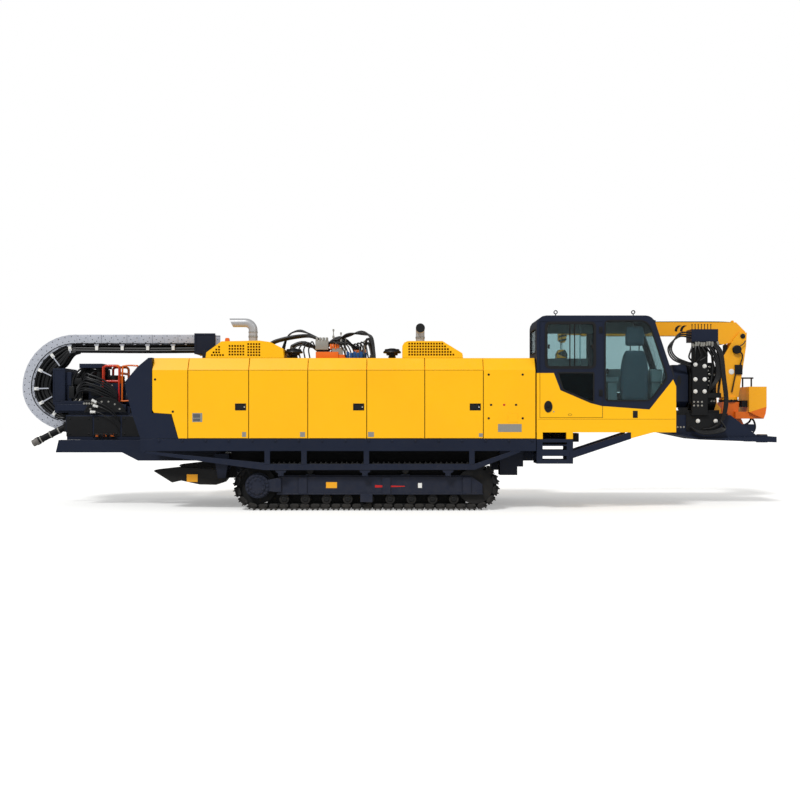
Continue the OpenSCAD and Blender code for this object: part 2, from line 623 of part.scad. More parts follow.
// Near side windows: the door opening and the front side glass
door_x0 = cab_x0 + 54;
door_x1 = 3596;
door_z0 = 1678;
door_z1 = 3470;
// Front end of the struts below the cab
strut_x1 = 4100;
front_window = [[door_x1 + 40, 3425], [4330, 3425], [4440, 3340], [4752, 2395], [4440, 1990], [door_x1 + 40, 1990]];
// The line where the dark frame meets the yellow skin
skin_line = [[cab_x0 - 20, 2485], [2710, 2485], [2829, 2175], [3371, 1943], [3572, 1891], [4431, 1828], [4858, 2368], [cab_x1 + 20, 2200]];
module cab_lower_zone(y0, y1) {
  plate_xz(concat(skin_line, [[cab_x1 + 20, cab_z0 - 30], [cab_x0 - 20, cab_z0 - 30]]), y0, y1);
}
module cab_openings() {
  // Near wall
  block(door_x0, door_x1, cab_y0 - 10, cab_y0 + cab_t + 10, door_z0, door_z1 - 60);
  plate_xz(front_window, cab_y0 - 10, cab_y0 + cab_t + 10);
  // Corridor wall
  block(2700, 3500, cab_y1 - cab_t - 10, cab_y1 + 10, 2060, 3350);
  plate_xz(front_window, cab_y1 - cab_t - 10, cab_y1 + 10);
  // Rear window
  block(cab_x0 - 10, cab_x0 + cab_t + 10, cab_y0 + 130, cab_y1 - 130, 2850, 3300);
  // Windscreen
  translate([nose[0], 0, nose[1]]) rotate([0, -18, 0]) block(-cab_t - 40, 80, cab_y0 + 75, cab_y1 - 75, 40, 1010);
}
module cab_body() {
  difference() {
    plate_xz(cab_outline(0), cab_y0, cab_y1);
    plate_xz(cab_outline(cab_t), cab_y0 + cab_t, cab_y1 - cab_t);
    cab_openings();
  }
}
module cab_shell() {
  color(navy) {
    difference() {
      cab_body();
      cab_lower_zone(-half_w - 10, -corridor_w + 10);
    }
    for (x = [2823, 4261]) {
      rod_z(9, cab_z1 - 2, cab_z1 + 75, x, -1000);
      difference() {
        rod_y(38, -1009, -991, x, cab_z1 + 112);
        rod_y(22, -1010, -990, x, cab_z1 + 112);
      }
    }
  }
}
module cab_base() {
  color(yellow) {
    intersection() {
      cab_body();
      cab_lower_zone(-half_w - 10, -corridor_w + 10);
    }
    // Foot that the strut bolts to, and two hanging posts
    plate_xz([[strut_x1 + seat_gap, cab_z0 + 10], [strut_x1 + seat_gap, 1308], [strut_x1 + 401, cab_z0],
              [strut_x1 + 401, cab_z0 + 10]], cab_y0, cab_y0 + 160);
    for (x = [[cab_x0 + 2, cab_x0 + 108], [2937, 3054]]) block(x[0], x[1], cab_y0, cab_y0 + 60, deck_z - 5, cab_z0 + 10);
  }
}
glass_t = 8;
// Points of a clockwise convex outline moved in by d
function inset(p, d) = [for (i = [0 : len(p) - 1])
  let (u = unit(p[i] - p[(i + len(p) - 1) % len(p)]), v = unit(p[(i + 1) % len(p)] - p[i]),
       n = [u[1], -u[0]], m = [v[1], -v[0]]) p[i] + d * (n + m) / (1 + n * m)];
module cab_glass() {
  color("#9fc0c4", 0.4) {
    for (y = [cab_y0 + 12, cab_y1 - 20]) plate_xz(inset(front_window, seat_gap), y, y + glass_t);
    block(2700 + seat_gap, 3500 - seat_gap, cab_y1 - 20, cab_y1 - 20 + glass_t, 2060 + seat_gap, 3350 - seat_gap);
    block(cab_x0 + 12, cab_x0 + 12 + glass_t, cab_y0 + 130 + seat_gap, cab_y1 - 130 - seat_gap,
          2850 + seat_gap, 3300 - seat_gap);
    translate([nose[0], 0, nose[1]]) rotate([0, -18, 0])
      block(-30, -30 + glass_t, cab_y0 + 75 + seat_gap, cab_y1 - 75 - seat_gap, 40 + seat_gap, 1010 - seat_gap);
  }
}

// Seat that looks across the drill corridor, and its two armrest consoles
seat_x = 4200;
seat_y = cab_y0 + 466;
module cab_seat() {
  floor_z = cab_z0 + cab_t;
  color("#33373c") {
    block(seat_x - 200, seat_x + 200, seat_y - 180, seat_y + 180, floor_z, floor_z + 330);
    block(seat_x - 260, seat_x + 260, seat_y - 230, seat_y + 230, floor_z + 330, floor_z + 490);
    plate_yz([[seat_y - 340, 1890], [seat_y - 200, 1890], [seat_y - 270, 2920], [seat_y - 370, 2920]],
             seat_x - 265, seat_x + 265);
    plate_yz([[seat_y - 370, 2985], [seat_y - 275, 2985], [seat_y - 285, 3350], [seat_y - 370, 3350]],
             seat_x - 175, seat_x + 175);
    for (s = [-1, 1]) rod_z(10, 2910, 2990, seat_x + s * 80, seat_y - 320);
    block(seat_x - 150, seat_x + 150, seat_y - 240, seat_y - 195, 1900, 1960);
  }
}
module cab_consoles() {
  floor_z = cab_z0 + cab_t;
  front_y = cab_y1 - 280;
  color("#6f8587") for (s = [-1, 1]) {
    block(seat_x + s * 400 - 80, seat_x + s * 400 + 80, seat_y - 300, front_y, floor_z, floor_z + 860);
    rod_z(14, floor_z + 860, floor_z + 1020, seat_x + s * 400, front_y - 70);
    translate([seat_x + s * 400, front_y - 70, floor_z + 1020]) sphere(r = 28);
  }
}

// Hinged cab door with its sliding window above and fixed pane below
door_clear = 7;
upper_pane = [[door_x0 + 130, 2600], [3430, 2600], [3430, 3375], [door_x0 + 130, 3375]];
lower_pane = [[2790, 2485], [3420, 2485], [3420, 1970], [3371, 1975], [2880, 2190]];
handle_x = 2609;
handle_z = 1880;
handle_r = 62;
module door_plate() {
  difference() {
    block(door_x0 + door_clear, door_x1 - seat_gap, cab_y0 - 4, cab_y0 + cab_t - 4,
          door_z0 + door_clear, door_z1 - 60 - door_clear);
    for (p = [upper_pane, lower_pane]) plate_xz(p, cab_y0 - 20, cab_y0 + 80);
    rod_y(handle_r, cab_y0 - 10, cab_y0 + 8, handle_x, handle_z);
  }
}
module cab_door() {
  color(navy) difference() {
    door_plate();
    cab_lower_zone(cab_y0 - 20, cab_y0 + 80);
  }
}
module cab_door_skin() {
  color(yellow) intersection() {
    door_plate();
    cab_lower_zone(cab_y0 - 20, cab_y0 + 80);
  }
}
module door_glass() {
  x0 = upper_pane[0][0] + seat_gap;
  x1 = upper_pane[1][0] - seat_gap;
  z0 = upper_pane[0][1] + seat_gap;
  z1 = upper_pane[2][1] - seat_gap;
  color("#9fc0c4", 0.4) {
    block(x0, 3200, cab_y0 + 8, cab_y0 + 8 + glass_t, z0, z1);
    block(3170, x1, cab_y0 + 24, cab_y0 + 24 + glass_t, z0, z1);
    plate_xz(inset(lower_pane, seat_gap), cab_y0 + 14, cab_y0 + 14 + glass_t);
  }
}

// Steps below the cab door, and the struts that carry the cab's overhang
step_t = 30;
step_x1 = 3058;
module cab_steps() {
  top = deck_z - 5 - seat_gap;
  color(navy) {
    for (y = [-half_w + 10, step_y1 - step_t]) difference() {
      block(cab_x0, step_x1, y, y + step_t, 852, top);
      block(cab_x0 + 108, step_x1 - 112, y - 1, y + step_t + 1, 1100, top - 60);
      block(cab_x0 + 108, step_x1 - 112, y - 1, y + step_t + 1, 925, 990);
    }
    for (z = [852, 1020, 1170]) block(cab_x0 + 5, step_x1 - 5, -half_w + 11, step_y1 - 1, z, z + 26);
    for (y = [-half_w + 4, -1040])
      plate_xz([[step_x1 - 8, 1080], [step_x1 - 8, 950], [strut_x1, 1300], [strut_x1, cab_z0 - seat_gap],
                [strut_x1 - 40, cab_z0 - seat_gap]], y, y + 60);
    block(step_x1 - 68, step_x1, -half_w + 4, -980, 952, 1078);
  }
}

// Mast: two side beams on a floor plate, with racks along the rails and a sloping nose
mast_top = mast_z + mast_h;
// Rear and front end of the carriage in its rear position
car_x0 = mast_x0 - 230;
car_x1 = car_x0 + 1440;
rail_x1 = 5155;
foot_x1 = 7110;
nose_x = 5000;
// The straight beams end here, where the sloping nose is fitted on
split_x = rail_x1 + 5;
split_z = lerp(mast_z, 1262, (split_x - nose_x) / (5660 - nose_x));
anchor_r = 60;
anchor_x = 6900;
anchor_y = 330;
anchor_z0 = 1205;
anchor_z1 = 1350;
module mast_beams() {
  both_sides() {
    plate_xz([[mast_x0, mast_z], [nose_x, mast_z], [split_x, split_z], [split_x, mast_top], [mast_x0, mast_top]],
             mast_w - mast_beam_w, mast_w);
    block(mast_x0 + 40, rail_x1, mast_w - 120, mast_w - 50, mast_top - 1, mast_top + 44);
  }
  floor_y = mast_w - mast_beam_w - seat_gap;
  plate_xz([[mast_x0, mast_z], [nose_x, mast_z], [split_x, split_z], [split_x, split_z + 24],
            [nose_x, mast_z + 24], [mast_x0, mast_z + 24]], -floor_y, floor_y);
}
module mast_nose() {
  x0 = split_x + seat_gap;
  both_sides()
    plate_xz([[x0, split_z], [5660, 1262], [foot_x1 - 12, 1209], [foot_x1 - 12, 1319], [6750, 1345],
              [6250, mast_top], [x0, mast_top]], mast_w - mast_beam_w, mast_w);
  plate_xz([[x0, split_z], [5660, 1262], [foot_x1, 1209], [foot_x1, 1319], [5700, 1290], [x0, split_z + 24]],
           -mast_w - 60, mast_w + 60);
  for (s = [-1, 1]) rod_z(anchor_r + 45, anchor_z0, anchor_z1, anchor_x, s * anchor_y);
}
// Lugs on the tilt pin and for the tilt cylinders' rods
module mast_lugs() {
  top = mast_z - seat_gap;
  both_sides()
    plate_xz([[tilt_x - 210, top], [tilt_x - 95, tilt_z - 50], [tilt_x - 60, tilt_z - 90],
              [tilt_x + 60, tilt_z - 90], [tilt_x + 95, tilt_z - 50], [tilt_x + 210, top]], mast_w - 90, mast_w);
  for (y = ram_y, s = [-1, 1]) {
    plate_xz([[ram_head[0] - 90, top], [ram_head[0] - 45, ram_head[1] - 50],
              [ram_head[0] + 45, ram_head[1] - 50], [ram_head[0] + 90, top]], y + s * 85 - 12, y + s * 85 + 12);
    rod_y(32, y + s * 97 - 14, y + s * 97 + 14, ram_head[0], ram_head[1]);
  }
}
module mast_frame() {
  color(navy) difference() {
    union() {
      mast_beams();
      mast_nose();
      mast_lugs();
    }
    rod_y(tilt_r + run_gap, -mast_w - 1, mast_w + 1, tilt_x, tilt_z);
    for (s = [-1, 1]) rod_z(anchor_r, 1100, 1450, anchor_x, s * anchor_y);
  }
}

// Hose chain: a top run that ends in its guide box, a bend and a short lower run
chain_r = 1030;
link_h = 170;
link_l = 250;
chain_w = 210;
chain_end_x = -4020;
chain_low_r = 850;
bend_a0 = 96;
bend_a1 = 247;
bend_n = 11;
// The bend's lower end stands this far behind the carriage, whatever its radius
bend_gap = 72.453062344;
chain_x = car_x0 - bend_gap - chain_r * cos(bend_a1);
chain_z = 2260;
chain_top = chain_z + chain_r;
pitch_line = chain_r - link_h / 2;
// Point of the chain's bend at angle a, d inside its outer face; below the centre it is drawn in
function bend_point(a, d) = [chain_x + (chain_r - d) * cos(a), chain_z + ((a > 180 ? chain_low_r : chain_r) - d) * sin(a)];
function bend_turn(a) = let (p = bend_point(a + 1, link_h / 2) - bend_point(a - 1, link_h / 2)) atan2(p[1], p[0]);
plate_t = 14;
bundle_h = 150;
// A straight run: two side bands, and a cross bar in each link that the hoses hang from
module chain_straight(x0, x1, z) {
  n = round((x1 - x0) / link_l);
  color(steel) translate([0, 0, z]) {
    for (s = [-1, 1])
      block(x0, x1, s * chain_w - plate_t / 2, s * chain_w + plate_t / 2, -link_h / 2, link_h / 2);
    for (i = [0 : n - 1]) {
      x = x0 + (i + 0.5) * (x1 - x0) / n;
      block(x - 22, x + 22, -chain_w, chain_w, -link_h / 2 - 20, -link_h / 2 + 12);
    }
  }
}
module chain_top_run() {
  chain_straight(chain_x + 10, chain_end_x, chain_z + pitch_line);
  color(black) block(chain_x + 10, chain_end_x, -chain_w + 30, chain_w - 30, chain_z + pitch_line - link_h / 2 - bundle_h, chain_z + pitch_line - link_h / 2 - 18);
}
// A band that follows the bend, from depth d0 to depth d1 below its outer face
module bend_band(a0, d0, d1, y0, y1) {
  n = 2 * bend_n;
  plate_xz(concat([for (i = [0 : n]) bend_point(lerp(a0, bend_a1, i / n), d0)],
                  [for (i = [n : -1 : 0]) bend_point(lerp(a0, bend_a1, i / n), d1)]), y0, y1);
}
module chain_bend() {
  color(steel) {
    for (s = [-1, 1]) bend_band(bend_a0, 0, link_h, s * chain_w - plate_t / 2, s * chain_w + plate_t / 2);
    for (i = [0 : bend_n - 1]) {
      c = bend_point(lerp(bend_a0, bend_a1, (i + 0.5) / bend_n), link_h - 10);
      translate([c[0], 0, c[1]]) rotate([0, 180 - bend_turn(lerp(bend_a0, bend_a1, (i + 0.5) / bend_n)), 0])
        block(-22, 22, -chain_w, chain_w, -14, 18);
    }
  }
  color(black) bend_band(bend_a0, link_h - 4, link_h + bundle_h, -chain_w + 30, chain_w - 30);
}
// Where the chain is bolted to the carriage
low_x = car_x0 + 190;
low_z = chain_z - chain_low_r + 47;
module chain_lower_run() {
  a = bend_point(bend_a1 + 4, 0);
  b = bend_point(bend_a1 + 3, link_h);
  color(steel) for (s = [-1, 1]) {
    y = s * chain_w;
    plate_xz([a, [low_x - 120, low_z], [low_x, low_z], [low_x, low_z + link_h], [low_x - 140, low_z + link_h], b],
             y - plate_t / 2, y + plate_t / 2);
  }
  color(steel) for (x = [low_x - 120, low_x - 24]) block(x - 22, x + 22, -chain_w, chain_w, low_z + 43, low_z + 83);
  color(black) block(low_x - 150, low_x - 10, -chain_w + 30, chain_w - 30, low_z + 82, low_z + 243);
}
// Guide box round the end of the top run, on legs from the mast
module chain_guide() {
  guide_z = chain_top - 383;
  color(navy) {
    for (s = [-1, 1]) {
      y = s * (chain_w + 45);
      block(chain_end_x - 10, chain_end_x + 390, y - 15, y + 15, guide_z, chain_top + 19);
    }
    block(chain_end_x + 30, chain_end_x + 380, -chain_w - 32, chain_w + 32, guide_z, guide_z + 30);
    block(chain_end_x + 12, chain_end_x + 42, -chain_w - 32, chain_w + 32, guide_z, guide_z + 53);
    block(chain_end_x + seat_gap, chain_end_x + 20, -chain_w - 32, chain_w + 32, chain_top - link_h, chain_top);
    for (s = [-1, 1]) {
      y = s * 522;
      block(chain_end_x + 200, chain_end_x + 380, y - 14, y + 14, 1500, guide_z + 53);
      block(chain_end_x + 200, chain_end_x + 380, min(y, s * 250), max(y, s * 250), guide_z + 18, guide_z + 53);
      block(chain_end_x + 200, chain_end_x + 380, min(y, s * (mast_w + seat_gap)), max(y, s * (mast_w + seat_gap)), 1500, 1680);
    }
  }
}

// Carriage: frame on the rails, gearbox, motors, boxes, guard rail and mud pipe
slide_z = mast_top + 44 + seat_gap;
gear_x0 = car_x0 + 620;
gear_x1 = gear_x0 + 630;
gear_w = 330;
gear_top = 2340;
plate_y = mast_w - 40;
shoe_y = mast_w + 25;
// The carriage's rear plate rests on the inner end of the chain's bend
rest = bend_point(bend_a1, link_h + bundle_h);
module carriage_frame() {
  color(navy) {
    both_sides() {
      plate_xz([[car_x0, slide_z], [car_x0, 1960], [car_x0 + 200, 2000], [car_x1 - 300, 2000], [car_x1, 1880],
                [car_x1, slide_z]], plate_y - 90, plate_y);
      block(car_x0 + 60, car_x1 - 60, plate_y - 2, shoe_y, slide_z + 40, slide_z + 160);
    }
    block(car_x0 + 100, gear_x1 - 10, -plate_y + 88, plate_y - 88, slide_z + 20, slide_z + 60);
    block(rest[0], car_x0 + 110, -plate_y + 88, plate_y - 88, rest[1] + seat_gap, 1930);
    block(low_x + seat_gap, low_x + 50, -chain_w - plate_t / 2, chain_w + plate_t / 2, low_z + 23, slide_z + 30);
  }
}
// Domed guards on both sides of the gearbox
guard_r = 424;
guard_z = 1650;
module side_guards() {
  mid = gear_x0 + 370;
  low = slide_z + 10;
  half = acos((low - guard_z) / guard_r);
  color(black) both_sides()
    plate_xz(arc([mid, guard_z], guard_r, 90 + half, 90 - half, 16), shoe_y + seat_gap, shoe_y + 10);
}
spindle_r = 95;
module gearbox() {
  color(navy) difference() {
    union() {
      block(gear_x0, gear_x1, -gear_w, gear_w, slide_z + 60 + seat_gap, gear_top);
      rod_x(250, gear_x1, gear_x1 + 120, 0, drill_z);
      rod_x(180, gear_x1 + 120, gear_x1 + 220, 0, drill_z);
    }
    rod_x(spindle_r + run_gap, gear_x0 + 250, gear_x1 + 230, 0, drill_z);
  }
}
module drive_motors() {
  color(black) {
    for (y = [-210, 0, 210], z = [drill_z - 110, drill_z + 140]) {
      rod_x(88, gear_x0 - 270, gear_x0 - seat_gap, y, z);
      rod_x(62, gear_x0 - 350, gear_x0 - 270, y, z);
    }
    for (y = [-170, 170]) {
      rod_z(95, gear_top + seat_gap, gear_top + 220, gear_x0 + 160, y);
      rod_z(70, gear_top + 220, gear_top + 300, gear_x0 + 160, y);
      rod_z(95, gear_top + seat_gap, gear_top + 160, gear_x0 + 450, y);
    }
  }
}
module carriage_boxes() {
  z0 = 1930 + seat_gap;
  color(navy) {
    block(car_x0 - 68, car_x0 + 168, -gear_w, gear_w, z0, 2632);
    block(gear_x0 - 186, gear_x0 + 253, -gear_w + 20, gear_w - 20, gear_top + 300 + seat_gap, gear_top + 381);
    block(car_x0 + 167, car_x0 + 270, -280, 280, 2300, 2560);
    for (y = [-250, 250]) block(car_x0 + 130, car_x0 + 270, y - 20, y + 20, z0, 2301);
  }
}
rail_r = 24;
module guard_rail() {
  x0 = gear_x0 + 280;
  x1 = gear_x0 + 590;
  z0 = gear_top + 280;
  color("#c0281c") {
    for (y = [-300, 300]) {
      for (x = [x0, x1]) rod_z(rail_r, gear_top + seat_gap, z0, x, y);
      rod_x(rail_r, x0 + 60, x1 - 60, y, z0 + 60);
      for (c = [[x0 + 60, 90], [x1 - 60, 0]])
        translate([c[0], y, z0]) rotate([90, 0, 0]) rotate_extrude(angle = 90, start = c[1])
          translate([60, 0]) circle(r = rail_r);
      rod_x(rail_r, x0, x1, y, gear_top + 40);
    }
    rod_y(rail_r, -300, 300, x1, gear_top + 200);
  }
}
mud_r = 62;
mud_a = 27;
mud_y = -380;
mud_z = 1500;
module mud_pipe() {
  color(black) block(mast_x0 - 40, mast_x0 - seat_gap, mud_y - 80, mud_y + 80, mast_z + 10, mast_z + 200);
  translate([mast_x0 - 40, mud_y, mud_z]) rotate([0, -90 - mud_a, 0]) {
    color(black) cylinder(r = mud_r, h = 560);
    color(steel) translate([0, 0, 560]) cylinder(r = mud_r + 14, h = 60);
    color(steel) translate([0, 0, 620]) cylinder(r = mud_r + 4, h = 70);
  }
}
module spindle() {
  color(steel) {
    rod_x(spindle_r, gear_x0 + 260, gear_x1 + 340, 0, drill_z);
    rod_x(120, gear_x1 + 221, gear_x1 + 320, 0, drill_z);
    rod_x(88, gear_x1 + 340, gear_x1 + 460, 0, drill_z);
  }
}

// Breakout vises at the mast's nose
vise_bore = 140;
spigot_r = 180;
vise_x0 = 5480;
vise_x1 = 5990;
base_top = mast_top + 30;
module front_vise() {
  color(black) {
    difference() {
      plate_yz([[-300, base_top + 60], [300, base_top + 60], [430, 1950], [430, 2580], [300, 2740], [-300, 2740],
                [-430, 2580], [-430, 1950]], vise_x0, vise_x1);
      rod_x(vise_bore, vise_x0 - 1, vise_x1 + 1, 0, drill_z);
    }
    block(5200, 6200, -mast_w, mast_w, mast_top + seat_gap, base_top);
    block(vise_x0 - 10, vise_x1 + 60, -mast_w + 40, mast_w - 40, base_top - 1, base_top + 65);
    // Side plates over the mast's flanks, and the ledge that the valve column stands on
    both_sides() {
      plate_xz([[5400, 1430], [5900, 1430], [6040, 1500], [6100, 1640], [6100, base_top], [5400, base_top]],
               mast_w + seat_gap, mast_w + 24);
      block(5400, 6100, mast_w - 1, mast_w + 24, mast_top + seat_gap, base_top);
    }
    block(5480, 5810, -548, -mast_w, mast_top + seat_gap, base_top);
    difference() {
      rod_x(spigot_r, 5190, vise_x0 + 1, 0, drill_z);
      rod_x(vise_bore, 5180, vise_x0 + 2, 0, drill_z);
    }
    block(5795, 6045, -545, -425, 2060, 2150);
  }
}
module rear_vise() {
  color(navy) difference() {
    plate_yz([[-240, 1880], [240, 1880], [400, 1990], [400, 2500], [260, 2700], [-260, 2700], [-400, 2500],
              [-400, 1990]], 5200, 5450);
    rod_x(spigot_r + run_gap, 5100, 5500, 0, drill_z);
  }
}
stack_z0 = 3127;
module valve_stack() {
  color(navy) {
    block(5484, 5989, -545, -200, stack_z0, 3364);
    block(5500, 5790, -545, -mast_w - seat_gap, base_top + seat_gap, stack_z0 + 1);
  }
}
// Vise hoses: place along the machine at the valve stack and at the vise
vise_runs = [[5850, 5830], [5905, 5920], [5960, 6010]];
module vise_hoses() {
  y = -500;
  color(black) for (r = vise_runs)
    hose(concat([[r[0], y, stack_z0 - seat_gap], [r[0], y, stack_z0 - 40]],
                [for (i = [1 : 9]) let (t = i / 10)
                  [lerp(r[0], r[1], t) + 60 * sin(180 * t), y, lerp(stack_z0 - 60, 2210, t)]],
                [[r[1], y, 2190], [r[1], y, 2150 + seat_gap]]), 24);
}

// Crane on the far side: pedestal, column, boom, extension, hook and lift cylinder
module crane_pedestal() {
  color(yellow) {
    plate_xz([[crane_x - 260, platform_z + seat_gap], [crane_x + 260, platform_z + seat_gap], [crane_x + 150, 1780], [crane_x + 170, slew_z - 40], [crane_x - 170, slew_z - 40], [crane_x - 200, 1780]], crane_y - 160, crane_y + 160);
    rod_z(slew_r, slew_z - 41, slew_z, crane_x, crane_y);
  }
}
boom_pin = [crane_x + boom_pin_dx, boom_pin_z];
module crane_column() {
  z0 = slew_z + seat_gap;
  color(yellow) {
    rod_z(slew_r - 10, z0, z0 + 60, crane_x, crane_y);
    difference() {
      plate_xz([[crane_x - 250, z0 + 59], [crane_x + 165, z0 + 59], [crane_x + 320, boom_pin_z - 217],
                [crane_x + 335, boom_pin_z + 73], [crane_x + 190, boom_pin_z + 73],
                [crane_x + 80, boom_pin_z - 47], [crane_x - 150, boom_pin_z - 431]],
               crane_y - 130, crane_y + 130);
      block(crane_x - 300, crane_x + 500, crane_y - 95, crane_y + 95, 2450, boom_pin_z + 150);
    }
    rod_y(35, crane_y - 131, crane_y + 131, boom_pin[0], boom_pin[1]);
    rod_y(28, crane_y - 131, crane_y + 131, ram_a[0], ram_a[1]);
  }
}
boom_z0 = boom_pin_z + 11;
boom_z1 = boom_pin_z + 293;
boom_tip_x = crane_x - 3330;
module crane_boom() {
  color(yellow) difference() {
    union() {
      plate_xz([[boom_tip_x + 300, boom_z0], [boom_tip_x + 300, boom_z1], [crane_x + 130, boom_z1 - 7],
                [crane_x + 320, boom_pin_z + 93], [crane_x + 325, boom_pin_z - 57], [crane_x + 200, boom_pin_z - 97],
                [crane_x - 140, boom_pin_z - 167], [crane_x - 280, boom_pin_z - 147], [crane_x - 520, boom_z0]],
               crane_y - 88, crane_y + 88);
    }
    block(boom_tip_x - 100, crane_x - 400, crane_y - 66, crane_y + 66, boom_z0 + 24, boom_z1 - 24);
    rod_y(35 + run_gap, crane_y - 100, crane_y + 100, boom_pin[0], boom_pin[1]);
    plate_xz([[crane_x - 300, boom_pin_z - 247], [crane_x - 200, boom_pin_z - 12], [crane_x + 90, boom_pin_z - 12],
              [crane_x + 90, boom_pin_z - 247]], crane_y - 56, crane_y + 56);
  }
}
module boom_extension() {
  color(yellow) difference() {
    union() {
      block(boom_tip_x, crane_x - 500, crane_y - 60, crane_y + 60, boom_z0 + 24 + seat_gap, boom_z1 - 30);
      plate_xz([[boom_tip_x - 175, boom_z0 - 90], [boom_tip_x - 110, boom_z0 - 150], [boom_tip_x - 40, boom_z0 - 130],
                [boom_tip_x + 2, boom_z0 + 30], [boom_tip_x + 2, boom_z1 - 30],
                [boom_tip_x - 110, boom_z1 - 30], [boom_tip_x - 180, boom_z1 - 120]], crane_y - 60, crane_y + 60);
    }
    rod_y(hook_r + run_gap, crane_y - 70, crane_y + 70, hook_x, hook_z);
  }
}
hook_x = boom_tip_x - 110;
hook_z = boom_z0 + 110;
hook_r = 14;
module hook_block() {
  color(yellow) {
    for (s = [-1, 1]) rod_z(7, 3070, hook_z + 2, hook_x, crane_y + s * 80);
    difference() {
      plate_xz([[hook_x - 110, 2900], [hook_x - 60, 2820], [hook_x + 60, 2820], [hook_x + 110, 2900],
                [hook_x + 110, 2990], [hook_x + 60, 3072], [hook_x - 60, 3072], [hook_x - 110, 2990]],
               crane_y - 100, crane_y + 100);
      plate_xz([[hook_x - 200, 2860], [hook_x + 200, 2860], [hook_x + 200, 3050], [hook_x - 200, 3050]], crane_y - 30, crane_y + 30);
    }
    rod_y(hook_r, crane_y - 92, crane_y + 92, hook_x, hook_z);
  }
}
// Lift cylinder: foot on the column, head on the boom
ram_a = [crane_x - 70, 2540];
ram_b = [crane_x - 60, boom_pin_z - 85];
function ram_angle(a, b) = atan2(b[1] - a[1], b[0] - a[0]);
module ram_frame(a, b) {
  translate([a[0], 0, a[1]]) rotate([0, -ram_angle(a, b), 0]) children();
}
module boom_cylinder() {
  l = norm(ram_b - ram_a);
  color(black) translate([0, crane_y, 0]) ram_frame(ram_a, ram_b) difference() {
    union() {
      rod_y(48, -50, 50, 0, 0);
      rod_x(50, 40, l - 90, 0, 0);
    }
    rod_y(28 + run_gap, -60, 60, 0, 0);
    rod_x(26 + run_gap, 120, l, 0, 0);
  }
}
module boom_rod() {
  l = norm(ram_b - ram_a);
  color(steel) translate([0, crane_y, 0]) ram_frame(ram_a, ram_b) {
    rod_x(26, 140, l - 20, 0, 0);
    rod_y(44, -48, 48, l, 0);
  }
}

// Operator's stand beside the crane's pedestal
module crane_stand() {
  x1 = crane_x + 670;
  color(orange) {
    block(crane_x + 261, x1 - 80, 700, 789, 1660, 1800);
    block(crane_x + 60, crane_x + 262, 700, crane_y - 160 - seat_gap, 1660, 1800);
    plate_xz([[x1 - 356, 1790], [x1 - 60, 1657], [x1 - 20, 1760], [x1, 1900], [x1, 2308], [x1 - 356, 2308]], 640, 1240);
  }
  color(black) {
    block(crane_x + 200, x1 - 356 - seat_gap, 720, 1160, 1900, 2030);
    for (x = [crane_x + 350, crane_x + 530]) rod_z(16, 2308 + seat_gap, 2498, x, 1100);
    rod_x(16, crane_x + 280, crane_x + 570, 1100, 2500);
  }
}

// Stabilizer legs with their ground pads
module stabilizer() {
  color(black) difference() {
    union() {
      plate_xz([[-4560, 722], [-4590, 700], [-4249, 488], [-4081, 525], [-3740, 452], [-3438, 446], [-3300, 490],
                [-3240, 560], [-3240, 700], [-3420, 730], [-4136, 770]], leg_y - 140, leg_y + 140);
    }
    rod_y(38 + run_gap, leg_y - 150, leg_y + 150, leg_x, leg_z);
  }
}
module stabilizer_far() { stabilizer(); }
module stabilizer_near() { mirror([0, 1, 0]) stabilizer(); }

// Tilt cylinders between the base frame and the mast
ram_foot = [-1500, 830];
ram_head = [300, 1330];
ram_y = [-230, 230];
ram_r = 62;
module tilt_cylinders() {
  l = norm(ram_head - ram_foot);
  color(black) for (y = ram_y) translate([0, y, 0]) ram_frame(ram_foot, ram_head) difference() {
    union() {
      rod_y(60, -60, 60, 0, 0);
      rod_x(ram_r, 50, l - 140, 0, 0);
    }
    rod_y(34 + run_gap, -70, 70, 0, 0);
    rod_x(36 + run_gap, 200, l, 0, 0);
  }
}
module tilt_rods() {
  l = norm(ram_head - ram_foot);
  color(steel) for (y = ram_y) translate([0, y, 0]) ram_frame(ram_foot, ram_head) {
    union() {
      rod_x(36, 240, l - 20, 0, 0);
      rod_y(58, -50, 50, l, 0);
    }
  }
}

track_near();
track_far();
track_frames();
sprockets();
idlers();
track_rollers();
crawler_beam();
base_frame();
near_cabinet();
far_cabinet();
rear_shrouds();
engines();
engine_hoods();
exhaust_pipes();
air_intakes();
roof_valves();
roof_hoses();
door_1();
door_2();
door_3();
door_4();
door_5();
cab_shell();
cab_base();
cab_glass();
cab_seat();
cab_consoles();
cab_door();
cab_door_skin();
door_glass();
cab_steps();
crane_pedestal();
crane_stand();
mast_frame();
chain_guide();
front_vise();
valve_stack();
vise_hoses();
chain_top_run();
rear_vise();
carriage_frame();
side_guards();
gearbox();
drive_motors();
carriage_boxes();
guard_rail();
mud_pipe();
chain_lower_run();
spindle();
chain_bend();
crane_column();
crane_boom();
boom_extension();
hook_block();
boom_cylinder();
boom_rod();
stabilizer_near();
stabilizer_far();
tilt_cylinders();
tilt_rods();
